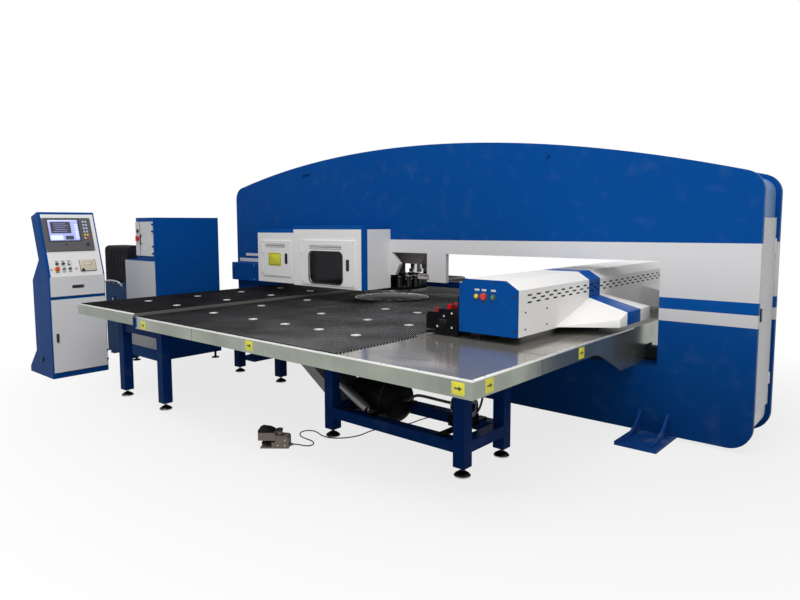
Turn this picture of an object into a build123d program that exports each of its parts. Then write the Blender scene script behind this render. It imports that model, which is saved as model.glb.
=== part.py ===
from build123d import *
import os
from math import atan2, cos, degrees, hypot, pi, radians, sin, sqrt, tan

# Turret punch press: a closed O-shaped frame with a turret in its window, sheet tables in front
# and behind, and a feed beam that crosses the window and carries the sheet clamps.
# Axes: +X along the frame to the right, +Y through the frame away from the operator, +Z up.
# The origin is on the floor, at the centre of the four anchor holes of the frame. Millimetres.

# O-shaped frame
frame_length = 6050.0
frame_depth = 626.0
frame_plate = 45.0
arch_radius = 12100.0
arch_peak_x = -220.0
arch_peak_z = 2427.0
top_corner_radius = 150.0
bottom_corner_radius = 165.0
core_inset = 40.0
core_wall = 30.0
window_left = -frame_length / 2 + 435.0
window_right = frame_length / 2 - 665.0
window_top = 1362.0
window_bottom = 540.0
leg_bottom = 1080.0
leg_right_outer = 363.0
leg_right_inner = 131.0
leg_left_outer = -520.0
leg_left_inner = -334.0
rear_bar_x = (-595.0, 20.0)
rear_bar_y = (448.0, 473.0)
rear_bar_z = (945.0, 1012.0)
rear_arm_width = 80.0
rear_arm_lift = 24.0

# anchor feet of the frame
foot_plate = 28.0
foot_width = 305.0
foot_reach = 388.0
foot_under = 110.0
foot_spacing_x = frame_length - 1350.0
foot_spacing_y = 1120.0
anchor_hole_radius = 16.0
foot_rib = 22.0
foot_rib_gap = 205.0
foot_rib_height = 165.0

# end door and covers of the frame
cover_sheet = 3.0
seat_gap = 0.3
door_gap = 3.0
end_door_bottom = 265.0
end_door_top = 1686.0
end_door_depth = 19.7
end_cover_bottom = 84.0
end_latch_z = 990.0
end_latch_y = -150.0

# turret and punch head
turret_x = -600.0
turret_radius = 408.0
station_radius = 345.0
station_count = 20
upper_turret_bottom = 946.0
upper_turret_top = 990.0
turret_flange = 18.0
lower_turret_bottom = 776.0
lower_turret_top = 850.0
die_rise = 4.0
tool_head_top = 1104.0
shaft_radius = 60.0
running_gap = 0.05
carrier_radius = 150.0
carrier_bottom = 1120.0
ram_radius = 60.0
ram_tip = 1146.0
cylinder_radius = 130.0
cylinder_top = 1800.0
hood_bottom = 1235.0
hood_wall = 4.0

# turret guard
guard_sheet = 3.0
guard_left = -2075.0
guard_middle = -1387.0
guard_right = -347.0
guard_front = -740.0
guard_small_front = -700.0
guard_bottom = 992.0
guard_top = 1640.0
guard_small_top = 1603.0
guard_chamfer_x = 14.0
guard_chamfer_y = 70.0
main_door_x = (-1240.0, -447.0)
main_door_z = (1018.0, 1485.0)
small_door_x = (-1973.0, -1474.0)
small_door_z = (1070.0, 1472.0)
guard_door_thickness = 12.0
guard_lap = 12.0
guard_knuckle = (30.0, 6.0)
window_x = (-1119.0, -623.0)
window_z = (1040.0, 1364.0)
window_corner = 55.0

# turret drive housing on the left end of the face
drive_depth = 87.0
drive_bottom = 943.0
drive_top = 1168.0
drive_right = -2080.0
drive_overhang = 21.0

# tables
left_table_top = 866.0
main_table_top = 838.0
table_left = window_left + 30.0
table_seam = -1400.0
table_right = window_right - 170.0
table_front = 2600.0
main_table_front = 2590.0
frame_clear = 17.0
seam_gap = 6.0
table_sheet = 3.0
apron_depth = 103.0
brush_plate = 6.0
brush_border = 26.0
brush_seam_x = -640.0
brush_seam_y = -1745.0
steel_corner_x = window_right - 1210.0
side_plate_slant = (-1016.0, -584.0)
motor_slot = (76.0, 670.0)
side_strip = 230.0
centre_table_right = 300.0
turret_clear = 10.0

# table stands
leg_width = 90.0
tube_wall = 4.0
leg_bottom_z = 62.0
leg_edge = 3.0
left_stand_x = (table_left + 645.0, table_seam + 205.0)
left_stand_y = (-2433.0, -1108.0)
right_stand_x = (table_right - 1726.0, table_right - 505.0)
right_stand_y = (-1940.0, -1451.0)
lower_rail_z = (160.0, 240.0)
side_rail_z = (640.0, 735.0)
foot_disc_radius = 55.0
foot_stem_radius = 11.0

# chute and air receiver under the table
chute_sheet = 3.0
chute_y = (-1850.0, -1520.0)
chute_depth = 90.0
chute_foot_x = right_stand_x[0] - 74.0
chute_angle = 34.0
receiver_radius = 165.0
receiver_x = (right_stand_x[0] + 71.0, right_stand_x[1] - 700.0)
receiver_height = 73.0
pump_x = (right_stand_x[1] - 235.0, right_stand_x[1] - 85.0)
pump_radius = 62.0

# feed beam
beam_x = (window_right - 890.0, window_right - 560.0)
beam_z = (905.0, 1222.0)
beam_wall = 12.0
beam_half = 1590.0
cap_plate = 20.0
beam_cover_x = (beam_x[0] - 47.0, beam_x[1] + 85.0)
beam_cover_z = (893.0, 1268.0)
beam_chamfer_left = (56.0, 38.0)
beam_chamfer_right = (94.0, 60.0)
cover_left_skirt = 1165.0
vent_pitch = 125.0
vent_length = 62.0
vent_height = 12.0
vent_rows = (1168.0, 1143.5, 1119.0)
rail_section = 25.0
beam_rail_z = (975.0, 1120.0)
ground_rail_y = 170.0
ground_rail_width = 45.0
ground_rail_height = 50.0
saddle_x = (beam_x[0] - 30.0, beam_x[1] + 68.0)
saddle_half = 235.0
screw_radius = 20.0
screw_z = 600.0

# saddle skirts
skirt_right = beam_cover_x[1] + 365.0
skirt_bottom = 900.0
skirt_shoulder = 997.0
skirt_top = 1070.0
skirt_near = 181.0
skirt_flare = 850.0
skirt_far = 1028.0
skirt_rear_near = 690.0

# clamp carriage
carriage_x = (beam_x[0] - 75.0, beam_x[0] - 49.0)
carriage_y = (-beam_half + 5.0, -beam_half + 900.0)
carriage_z = (935.0, 1140.0)
clamp_x = (carriage_x[0] - 285.0, carriage_x[0])
clamp_step_x = clamp_x[0] + 115.0
clamp_bottom = 850.0
clamp_front_top = 1006.0
clamp_top = 1036.0
clamp_width = 210.0
clamp_centres = tuple(offset - beam_half for offset in (110.0, 455.0, 795.0))
clamp_throat = (864.0, 880.0)
jaw_width = 110.0
jaw_pivot = (clamp_x[0] + 126.0, 930.0)
pin_radius = 12.0
cap_radius = 18.0
front_pin_radius = 9.0
cap_height = 38.0

# control buttons on the beam end
button_z = 1154.0
button_places = {
    "beam_stop_button": (beam_x[0] + 101.0, 15.0),
    "beam_emergency_stop": (beam_x[0] + 158.0, 23.0),
    "beam_start_button": (beam_x[0] + 232.0, 15.0),
}
button_stem = 8.0
button_travel = 4.0

# operator console
console_front = table_left - 580.0
console_y = (-2655.0, -2050.0)
console_sheet = 4.0
console_profile = ((0.0, 0.0), (0.0, 1111.0), (-223.0, 1802.0), (-395.0, 1752.0), (-240.0, 1284.0),
                   (-445.0, 1054.0), (-440.0, 266.0), (-640.0, 60.0), (-640.0, 0.0))
shelf_low = 878.0
shelf_high = 1112.0
console_door_z = (66.0, 858.0)
console_knuckle = (40.0, 7.0)
drawer_z = (893.0, 1104.0)
drawer_length = 390.0
panel_span = (console_y[0] + 23.0, console_y[0] + 545.0)
screen_span = (console_y[0] + 83.0, console_y[0] + 405.0)
screen_slope = (395.0, 637.0)
panel_slope = (276.0, 655.0)
panel_thickness = 14.0
control_slope = 78.0
control_row_two = 137.0

# control cabinet
cabinet_x = (table_left - 895.0, table_left - 190.0)
cabinet_upper_left = cabinet_x[1] - 410.0
cabinet_y = (-1640.0, -790.0)
cabinet_shelf = 1245.0
cabinet_top = cabinet_shelf + 496.0
cabinet_bottom = 84.0
cabinet_door_x = (cabinet_upper_left + 18.0, cabinet_x[1] - 18.0)
cabinet_door_z = (cabinet_shelf + 57.0, cabinet_top - 46.0)
cabinet_sheet = 4.0
cabinet_knuckle = (30.0, 6.0)

# hydraulic unit
tank_x = (cabinet_x[0] - 670.0, cabinet_x[0] - 35.0)
tank_y = (-1600.0, -900.0)
tank_top = 950.0
cooler_top = 1400.0
cooler_depth = 330.0
pump_motor_height = 380.0
gauge_z = (560.0, 760.0)
fin_count = 16

# foot pedal and its cable
pedal_place = (312.2, -2388.4)
pedal_turn = 40.5
pedal_length = 212.0
pedal_width = 112.0
pedal_sheet = 5.0
pedal_pivot = (-10.0, 32.0)
pedal_gland = (-20.0, 22.0, 26.0)
cable_radius = 4.5
cable_height = 5.0
gland_place = (750.0, 70.0)


def block(x, y, z):
    """A box from its spans along the three axes."""
    centre = Pos((x[0] + x[1]) / 2, (y[0] + y[1]) / 2, (z[0] + z[1]) / 2)
    return centre * Box(abs(x[1] - x[0]), abs(y[1] - y[0]), abs(z[1] - z[0]))


def prism_y(points, y0, y1):
    """A profile of (x, z) points, extruded from y0 to y1."""
    face = make_face(Polyline(*[(x, y0, z) for x, z in points], close=True))
    return extrude(face, amount=y1 - y0, dir=(0, 1, 0))


def prism_x(points, x0, x1):
    """A profile of (y, z) points, extruded from x0 to x1."""
    face = make_face(Polyline(*[(x0, y, z) for y, z in points], close=True))
    return extrude(face, amount=x1 - x0, dir=(1, 0, 0))


def prism_z(points, z0, z1):
    """A profile of (x, y) points, extruded from z0 to z1."""
    face = make_face(Polyline(*[(x, y, z0) for x, y in points], close=True))
    return extrude(face, amount=z1 - z0, dir=(0, 0, 1))


def post(x, y, z0, z1, radius):
    """An upright cylinder."""
    return Pos(x, y, (z0 + z1) / 2) * Cylinder(radius, z1 - z0)


def rod_x(y, z, x0, x1, radius):
    """A cylinder along X."""
    return Pos((x0 + x1) / 2, y, z) * Rot(0, 90, 0) * Cylinder(radius, x1 - x0)


def rod_y(x, z, y0, y1, radius):
    """A cylinder along Y."""
    return Pos(x, (y0 + y1) / 2, z) * Rot(90, 0, 0) * Cylinder(radius, y1 - y0)


def both_sides(shape):
    """A piece in front of the frame and its mirror image behind it."""
    return Compound(children=[shape, mirror(shape, about=Plane.XZ)])


def group(*shapes):
    """Separate solids that share one sub-part."""
    solids = [solid for shape in shapes for solid in shape.solids()]
    return Compound(children=solids)


def hinge_spans(z, knuckle):
    """Heights of the fixed knuckles below and above the door's knuckle."""
    half, radius = knuckle
    tall = radius * 3
    return ((z - half - 0.4 - tall, z - half - 0.4), (z + half + 0.4, z + half + 0.4 + tall))


def hinge_fixed(x, y, z, knuckle, leaf_x, leaf_y):
    """Fixed half of a door hinge: two knuckles on a pin, each with a leaf to its carrier."""
    radius = knuckle[1]
    low, high = hinge_spans(z, knuckle)
    fixed = post(x, y, low[0], high[1], radius / 2)
    for span in (low, high):
        fixed += post(x, y, *span, radius) + block(leaf_x, leaf_y, span)
    return fixed


def hinge_door(door, x, y, z, knuckle):
    """Door half of a hinge: the middle knuckle, and room for the fixed ones."""
    half, radius = knuckle
    low, high = hinge_spans(z, knuckle)
    for span in (low, high):
        door -= post(x, y, span[0] - 1, span[1] + 1, radius + 0.6)
    door += post(x, y, z - half, z + half, radius)
    return door - post(x, y, low[0], high[1], radius / 2 + running_gap)


half_length = frame_length / 2
half_depth = frame_depth / 2
inner_half = half_depth - frame_plate
frame_bottom = foot_plate
end_door_x = half_length - core_inset + seat_gap
end_door_face = end_door_x + end_door_depth
end_door_half = inner_half - 18
end_hinges = (end_door_bottom + 200, end_door_top - 200)
end_knuckle = (45.0, 8.0)
punch_x = turret_x + station_radius


def frame_outline(inset, y0, y1):
    """The outer form of the O-frame, held back by an inset: flat sides, a low arch, round corners."""
    half = half_length - inset
    low = frame_bottom + inset
    radius = arch_radius - inset
    centre_z = arch_peak_z - arch_radius
    right_z = centre_z + sqrt(radius ** 2 - (half - arch_peak_x) ** 2)
    left_z = centre_z + sqrt(radius ** 2 - (-half - arch_peak_x) ** 2)
    edges = [
        Line((-half, y0, low), (half, y0, low)),
        Line((half, y0, low), (half, y0, right_z)),
        ThreePointArc((half, y0, right_z), (arch_peak_x, y0, centre_z + radius), (-half, y0, left_z)),
        Line((-half, y0, left_z), (-half, y0, low)),
    ]
    solid = extrude(make_face(edges), amount=y1 - y0, dir=(0, 1, 0))
    corners = solid.edges().filter_by(Axis.Y).sort_by(Axis.Z)
    solid = fillet(corners[2:], top_corner_radius - inset)
    corners = solid.edges().filter_by(Axis.Y).sort_by(Axis.Z)[:2]
    return fillet(corners, bottom_corner_radius - inset)


def window_profile(right_leg):
    """The window of a frame plate, with the legs that reach down beside the punch head."""
    leg = [(leg_right_outer, window_top), (leg_right_outer, leg_bottom), (leg_right_inner, leg_bottom),
           (leg_right_inner, window_top)]
    return [
        (window_left, window_bottom), (window_right, window_bottom), (window_right, window_top),
        *(leg if right_leg else []), (leg_left_inner, window_top),
        (leg_left_inner + 112, window_top - 119), (leg_left_inner + 49, leg_bottom + 47),
        (leg_left_outer, leg_bottom + 47), (leg_left_outer, window_top), (window_left, window_top),
    ]


def split_ring(ring):
    """A closed ring as its welded lengths: straight runs, corners and four parts of the arch."""
    side = half_length - 200
    xs = (-half_length - 1, -side, -half_length / 2, 0.0, half_length / 2, side, half_length + 1)
    zs = (frame_bottom - 1, frame_bottom + 200, end_door_bottom + 30, end_door_top - 30,
          arch_peak_z - 520, arch_peak_z + 1)
    parts = []
    for x in zip(xs, xs[1:]):
        for z in zip(zs, zs[1:]):
            cell = ring & block(x, (-half_depth, half_depth), z)
            if cell is not None:
                parts.extend(cell.solids())
    return parts


def o_frame():
    """Two thick O-shaped plates with a hollow box ring between them. The rear one has no right leg."""
    front = frame_outline(0, -half_depth, -inner_half)
    front -= prism_y(window_profile(True), -half_depth, -inner_half)
    rear = frame_outline(0, inner_half, half_depth) - prism_y(window_profile(False), inner_half, half_depth)
    bar = [block(rear_bar_x, rear_bar_y, rear_bar_z)]
    z = leg_bottom + 60
    for x in (leg_left_outer + 5, leg_left_outer + 120):
        span = (x, x + rear_arm_width)
        bar.append(block(span, (half_depth, rear_bar_y[1]), (z, z + rear_arm_lift)))
        bar.append(block(span, rear_bar_y, (rear_bar_z[1], z)))
    ring = frame_outline(core_inset, -inner_half, inner_half)
    ring -= frame_outline(core_inset + core_wall, -inner_half, inner_half)
    wall_x = (window_left - core_wall, window_right + core_wall)
    span = (-inner_half, inner_half)
    liner = [
        block(wall_x, span, (window_top, window_top + core_wall)),
        block(wall_x, span, (window_bottom - core_wall, window_bottom)),
        block((wall_x[0], window_left), span, (window_bottom, window_top)),
        block((window_right, wall_x[1]), span, (window_bottom, window_top)),
    ]
    fill = frame_outline(core_inset + core_wall, *span)
    webs = []
    for x in (window_left, window_left / 2, turret_x + 60, leg_right_inner, window_right / 2):
        web = block((x - core_wall / 2, x + core_wall / 2), span, (window_top + core_wall, arch_peak_z))
        webs.append(web & fill)
    for x in (window_left / 2, 0.0, window_right / 2):
        web = block((x - core_wall / 2, x + core_wall / 2), span,
                    (frame_bottom + core_inset + core_wall, window_bottom - core_wall))
        webs.append(web)
    hatch = block((half_length - core_inset - core_wall - 1, half_length),
                  (-inner_half + core_wall, inner_half - core_wall), (end_door_bottom + 30, end_door_top - 30))
    ring -= hatch
    liner[0] -= post(punch_x, 0, window_top - 1, window_top + core_wall + 1, cylinder_radius - 30)
    for z in end_hinges:
        fixed = hinge_fixed(end_door_face, end_door_half, z, end_knuckle,
                            (end_door_face - 8, end_door_face + 4), (end_door_half, inner_half + 1))
        rear += fixed
    return group(front, rear, *bar, *split_ring(ring), *liner, *webs)


def anchor_foot():
    """A floor plate under the frame with two curved ribs and one anchor hole."""
    x = foot_spacing_x / 2
    y_out = -half_depth - foot_reach
    plate = block((x - foot_width / 2, x + foot_width / 2), (y_out, -half_depth + foot_under), (0, foot_plate))
    plate -= post(x, -foot_spacing_y / 2, -1, foot_plate + 1, anchor_hole_radius)
    toe = (y_out + 20, foot_plate)
    heel = (-half_depth, foot_plate)
    top = (-half_depth, foot_plate + foot_rib_height)
    toe_high = (y_out + 20, foot_plate + 14)
    for side in (-1, 1):
        x0 = x + side * foot_rib_gap / 2 - foot_rib / 2
        edges = [
            Line((x0, *toe), (x0, *heel)), Line((x0, *heel), (x0, *top)),
            ThreePointArc((x0, *top), (x0, -half_depth - 112, foot_plate + 66), (x0, *toe_high)),
            Line((x0, *toe_high), (x0, *toe)),
        ]
        plate += extrude(make_face(edges), amount=foot_rib, dir=(1, 0, 0))
    return plate


def anchor_feet():
    right = anchor_foot()
    left = mirror(right, about=Plane.YZ)
    return group(right, left, mirror(right, about=Plane.XZ), mirror(left, about=Plane.XZ))


def frame_covers():
    """Sheet strips that close the ring between the plates, apart from the end door."""
    outer = core_inset - seat_gap - cover_sheet
    span = (-inner_half + 1, inner_half - 1)
    strip = frame_outline(outer, *span) - frame_outline(core_inset - seat_gap, *span)
    strip -= block((half_length - 200, half_length), span,
                   (end_door_bottom - door_gap, end_door_top + door_gap))
    strip -= block((-half_length + 200, half_length - 200), span, (0, window_bottom))
    strip -= block((-half_length, half_length), span, (0, end_cover_bottom))
    return group(*split_ring(strip))


def handle_slot_latch(x, y, z, normal, reach):
    """A flat latch paddle on a round spindle that turns in its door."""
    if normal == "x":
        paddle = block((x, x + 10), (y - 13, y + 13), (z - 48, z + 48))
        paddle = fillet(paddle.edges().filter_by(Axis.X), 9)
        return paddle + rod_x(y, z, x - reach, x, 8)
    paddle = block((x - 13, x + 13), (y - 10, y), (z - 48, z + 48))
    paddle = fillet(paddle.edges().filter_by(Axis.Y), 9)
    return paddle + rod_y(x, z, y, y + reach, 8)


def frame_end_door():
    """Shallow pan door at the right end of the frame, with two hinge knuckles at its rear edge."""
    face_x = end_door_face
    door = block((end_door_x, face_x), (-end_door_half, end_door_half), (end_door_bottom, end_door_top))
    door -= block((end_door_x - 1, face_x - 3), (-end_door_half + 3, end_door_half - 3),
                  (end_door_bottom + 3, end_door_top - 3))
    boss = rod_x(end_latch_y, end_latch_z, end_door_x, face_x, 20)
    door += boss
    door -= rod_x(end_latch_y, end_latch_z, end_door_x - 1, face_x + 1, 8 + running_gap)
    for z in end_hinges:
        door = hinge_door(door, face_x, end_door_half, z, end_knuckle)
    return door


def frame_end_latch():
    return handle_slot_latch(end_door_face + 0.5, end_latch_y, end_latch_z, "x", end_door_depth)


def turret_drive_housing():
    """Box cover of the turret drive on the left of the face."""
    left = -half_length - drive_overhang
    body = block((left, drive_right), (-half_depth - drive_depth, -half_depth),
                 (drive_bottom, drive_top))
    body = fillet(body.edges().filter_by(Axis.Z).group_by(Axis.Y)[0], 18)
    return body - block((-half_length + 5, drive_right - 3), (-half_depth - drive_depth + 3, -half_depth + 1),
                        (drive_bottom + 3, drive_top - 3))


def upper_turret():
    """Tool disc with its bright bottom flange, hub and shaft."""
    disc = post(turret_x, 0, upper_turret_bottom, upper_turret_bottom + turret_flange, turret_radius)
    disc += post(turret_x, 0, upper_turret_bottom + turret_flange, upper_turret_top, turret_radius - 12)
    disc += post(turret_x, 0, upper_turret_top, carrier_bottom - 2, shaft_radius + 90)
    disc += post(turret_x, 0, carrier_bottom - 2, window_top - 60, shaft_radius)
    for index in range(station_count):
        x, y, radius = station(index)
        disc -= post(x, y, upper_turret_bottom - 1, upper_turret_top + 1, radius + 0.3)
    return disc


def station(index):
    """Place and shank radius of a tool station. Every fifth station is a large one."""
    angle = radians(360.0 / station_count * index)
    radius = 42.0 if index % 5 == 0 else 26.0
    return turret_x + station_radius * cos(angle), station_radius * sin(angle), radius


def punch_tools():
    """Punch holders that hang by their heads in the upper disc."""
    tools = []
    for index in range(station_count):
        x, y, radius = station(index)
        tool = post(x, y, upper_turret_bottom + 4, upper_turret_top, radius)
        tool += post(x, y, upper_turret_top, tool_head_top - 34, radius + 8)
        tool += post(x, y, tool_head_top - 34, tool_head_top - 14, radius - 4)
        tool += post(x, y, tool_head_top - 14, tool_head_top, radius + 6)
        tools.append(tool)
    return group(*tools)


def lower_turret():
    """Die disc with its hub and shaft."""
    disc = post(turret_x, 0, lower_turret_bottom, lower_turret_top, turret_radius)
    disc += post(turret_x, 0, window_bottom + 135, lower_turret_bottom, shaft_radius + 90)
    disc += post(turret_x, 0, window_bottom + 12, window_bottom + 135, shaft_radius)
    for index in range(station_count):
        x, y, radius = station(index)
        disc -= post(x, y, lower_turret_top - 30, lower_turret_top + 1, radius + 0.3)
        disc -= post(x, y, lower_turret_bottom - 1, lower_turret_top, radius - 10)
    return disc


def die_tools():
    """Round dies seated in the pockets of the lower disc."""
    dies = []
    for index in range(station_count):
        x, y, radius = station(index)
        die = post(x, y, lower_turret_top - 30, lower_turret_top + die_rise, radius)
        die -= post(x, y, lower_turret_top - 31, lower_turret_top + die_rise + 1, radius * 0.45)
        dies.append(die)
    return group(*dies)


def turret_carriers():
    """Bearing housings that hold the two turret shafts in the window."""
    upper = post(turret_x, 0, carrier_bottom, window_top, carrier_radius)
    upper += post(turret_x, 0, window_top - 30, window_top, carrier_radius + 40)
    upper -= post(turret_x, 0, carrier_bottom - 1, window_top - 50, shaft_radius + running_gap)
    lower = post(turret_x, 0, window_bottom, window_bottom + 133, carrier_radius)
    lower += post(turret_x, 0, window_bottom, window_bottom + 30, carrier_radius + 40)
    lower -= post(turret_x, 0, window_bottom + 10, window_bottom + 134, shaft_radius + running_gap)
    return group(upper, lower)


def punch_cylinder():
    """Hydraulic cylinder of the punch head, flanged onto the window liner."""
    seat = window_top + core_wall
    body = post(punch_x, 0, seat, cylinder_top, cylinder_radius)
    body += post(punch_x, 0, seat, seat + 40, cylinder_radius + 55)
    body += post(punch_x, 0, window_top - 40, seat, cylinder_radius - 30.3)
    body -= post(punch_x, 0, window_top - 41, cylinder_top - 40, ram_radius + running_gap)
    return body


def punch_ram():
    """Ram with its hammer head."""
    ram = post(punch_x, 0, ram_tip, ram_tip + 36, ram_radius + 16)
    ram += post(punch_x, 0, ram_tip + 36, cylinder_top - 130, ram_radius)
    return ram


def punch_hood():
    """Tapered sheet shroud round the ram, open at both ends, with a flange under the liner."""
    top_half = (238.0, 130.0)
    low_half = (130.0, 92.0)

    def taper(shrink, z0, z1):
        with BuildPart() as body:
            with BuildSketch(Plane.XY.offset(z0)):
                Rectangle(2 * (low_half[0] - shrink), 2 * (low_half[1] - shrink))
            with BuildSketch(Plane.XY.offset(z1)):
                Rectangle(2 * (top_half[0] - shrink), 2 * (top_half[1] - shrink))
            loft()
        return Pos(punch_x + 7, 0, 0) * body.part

    shell = taper(0, hood_bottom, window_top) - taper(hood_wall, hood_bottom, window_top)
    return shell - post(turret_x, 0, 0, window_top, carrier_radius + 46)


def guard_box(x0, x1, front, z0, z1):
    """Folded box, open at the back and at the bottom."""
    outer = block((x0, x1), (front, -half_depth), (z0, z1))
    inner = block((x0 + guard_sheet, x1 - guard_sheet), (front + guard_sheet, -half_depth + 1),
                  (z0 - 1, z1 - guard_sheet))
    return outer, inner


def turret_guard():
    """Sheet-metal guard in front of the turret: a main box and a lower side box, with two doorways."""
    right_corner = [(guard_right - guard_chamfer_x, guard_front - 1), (guard_right + 1, guard_front - 1),
                    (guard_right + 1, guard_front + guard_chamfer_y)]
    main_outer, main_inner = guard_box(guard_middle, guard_right, guard_front, guard_bottom, guard_top)
    main_outer -= prism_z(right_corner, guard_bottom - 1, guard_top + 1)
    inner_corner = [(x - guard_sheet, y + guard_sheet) for x, y in right_corner]
    main_inner -= prism_z(inner_corner, guard_bottom - 2, guard_top + 1)
    small_outer, small_inner = guard_box(guard_left, guard_middle + guard_sheet, guard_small_front,
                                         guard_bottom + 5, guard_small_top)
    shell = (main_outer - main_inner) + (small_outer - small_inner)
    doors = ((main_door_x, main_door_z, guard_front), (small_door_x, small_door_z, guard_small_front))
    for x, z, front in doors:
        shell -= block((x[0] + guard_lap, x[1] - guard_lap), (front - 1, front + guard_sheet + 1),
                       (z[0] + guard_lap, z[1] - guard_lap))
        axis_y = front - guard_door_thickness
        for height in (z[0] + 85, z[1] - 85):
            shell += hinge_fixed(x[0] - 1, axis_y, height, guard_knuckle, (x[0] - 26, x[0] - 1), (axis_y, front))
    return shell


pane_thickness = 5.0
pane_front = guard_front - seat_gap - pane_thickness
main_latch_x = -543.0
main_latch_z = 1237.0
small_latch_x = -1552.0
small_latch_z = 1272.0


def guard_door(x, z, front, latch_x, latch_z):
    """Pan door set into the guard, with hinge knuckles on its left edge and a latch boss."""
    y0 = front - guard_door_thickness
    y1 = front - seat_gap
    door = block(x, (y0, y1), z)
    door -= block((x[0] + 3, x[1] - 3), (y0 + 3, y1 + 1), (z[0] + 3, z[1] - 3))
    door += rod_y(latch_x, latch_z, y0, y1, 16)
    door -= rod_y(latch_x, latch_z, y0 - 1, y1 + 1, 8 + running_gap)
    for height in (z[0] + 85, z[1] - 85):
        door = hinge_door(door, x[0] - 1, y0, height, guard_knuckle)
    return door


def guard_main_door():
    door = guard_door(main_door_x, main_door_z, guard_front, main_latch_x, main_latch_z)
    y0 = guard_front - guard_door_thickness
    y1 = pane_front
    frame = block((window_x[0] - 14, window_x[1] + 14), (y0, y1), (window_z[0] - 14, window_z[1] + 14))
    opening = block(window_x, (y0 - 1, y1 + 1), window_z)
    opening = fillet(opening.edges().filter_by(Axis.Y), window_corner)
    door += frame
    door -= opening
    for index in range(10):
        door -= rod_y(window_x[0] + 20 + index * 50.0, window_z[1] + 54, y0 - 1, guard_front, 8)
    return door


def guard_window():
    """Clear pane behind the window of the main door."""
    pane = block((window_x[0] - 12, window_x[1] + 12), (pane_front, pane_front + pane_thickness),
                 (window_z[0] - 12, window_z[1] + 12))
    return fillet(pane.edges().filter_by(Axis.Y), window_corner)


def guard_small_door():
    door = guard_door(small_door_x, small_door_z, guard_small_front, small_latch_x, small_latch_z)
    y0 = guard_small_front - guard_door_thickness
    for index in range(8):
        x = small_door_x[0] + 58 + index * 43.0
        door -= block((x, x + 26), (y0 - 1, y0 + 4), (small_door_z[1] - 61, small_door_z[1] - 51))
    return door


def guard_main_latch():
    return handle_slot_latch(main_latch_x, guard_front - guard_door_thickness - 0.5, main_latch_z, "y",
                             guard_door_thickness)


def guard_small_latch():
    return handle_slot_latch(small_latch_x, guard_small_front - guard_door_thickness - 0.5, small_latch_z, "y",
                             guard_door_thickness)


def tray(x, y, top, sides):
    """Folded table sheet: a top plate with an apron on each named side."""
    pieces = [block(x, y, (top - table_sheet, top))]
    z = (top - apron_depth, top - table_sheet)
    between = (y[0] + table_sheet, y[1] - table_sheet if "back" in sides else y[1])
    if "front" in sides:
        pieces.append(block(x, (y[0], y[0] + table_sheet), z))
    if "back" in sides:
        pieces.append(block(x, (y[1] - table_sheet, y[1]), z))
    if "left" in sides:
        pieces.append(block((x[0], x[0] + table_sheet), between, z))
    if "right" in sides:
        pieces.append(block((x[1] - table_sheet, x[1]), between, z))
    return pieces


turret_hole = turret_radius + turret_clear


def table_left_panel():
    """Long left table that runs through the window."""
    return group(*tray((table_left, table_seam), (-table_front, table_front), left_table_top,
                       ("front", "back", "left", "right")))


def table_main():
    """Main tables in front of and behind the frame, joined at the right through the window."""
    y_back = -half_depth - frame_clear
    x0 = table_seam + seam_gap
    pieces = tray((x0, table_right), (-main_table_front, y_back), main_table_top, ("front", "left"))
    pieces[0] -= post(turret_x, 0, main_table_top - 20, main_table_top + 1, turret_hole)
    low = main_table_top - apron_depth
    high = main_table_top - table_sheet
    pieces.append(block((table_right - table_sheet, table_right),
                        (-main_table_front + table_sheet, side_plate_slant[0]), (low, high)))
    half_slot, slot_top = motor_slot
    profile = [(side_plate_slant[0], high), (side_plate_slant[0], low), (side_plate_slant[1], window_bottom),
               (-half_slot, window_bottom), (-half_slot, slot_top)]
    profile += [(-y, z) for y, z in reversed(profile)]
    side_plate = prism_x(profile, table_right - table_sheet, table_right)
    strip = block((table_right - side_strip, table_right), (y_back, -y_back), (high, main_table_top))
    return group(both_sides(group(*pieces)), side_plate, strip)


def table_centre():
    """Fixed plate round the lower turret, on four posts inside the window."""
    x0 = table_seam + seam_gap
    y1 = half_depth + frame_clear - seam_gap
    plate = block((x0, centre_table_right), (-y1, y1), (main_table_top - 12, main_table_top))
    plate -= post(turret_x, 0, main_table_top - 20, main_table_top + 1, turret_hole)
    for x in (x0 + 60, centre_table_right - 60):
        for y in (-inner_half + 60, inner_half - 60):
            plate += block((x - 30, x + 30), (y - 30, y + 30), (window_bottom, main_table_top - 11))
    return plate


def brush_beds():
    """Brush plates laid on the tables: two on the left table and three on each main table."""
    border = brush_border
    beds = []
    left = block((table_left + border, table_seam - border / 2), (-table_front + border, table_front - border),
                 (left_table_top, left_table_top + brush_plate))
    beds.append(left)
    z = (main_table_top, main_table_top + brush_plate)
    x0 = table_seam + seam_gap + border / 2
    y0 = -main_table_front + border
    y1 = -half_depth - frame_clear - border / 2
    hole = post(turret_x, 0, z[0] - 1, z[1] + 1, turret_hole + border / 2)
    outer = block((x0, brush_seam_x - 2), (y0, y1), z) - hole
    front = block((brush_seam_x + 2, steel_corner_x), (y0, brush_seam_y - 2), z)
    inner = block((brush_seam_x + 2, steel_corner_x - 60), (brush_seam_y + 2, y1), z) - hole
    for bed in (outer, front, inner):
        beds.append(bed)
        beds.append(mirror(bed, about=Plane.XZ))
    return group(*beds)


def tube_upright(x, y, z1):
    """Square-tube leg with a closed, tapered lower end."""
    half = leg_width / 2
    leg = block((x - half, x + half), (y - half, y + half), (leg_bottom_z, z1))
    leg = chamfer(leg.faces().sort_by(Axis.Z)[0].edges(), leg_edge)
    inner = half - tube_wall
    return leg - block((x - inner, x + inner), (y - inner, y + inner), (leg_bottom_z + 30, z1 + 1))


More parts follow.
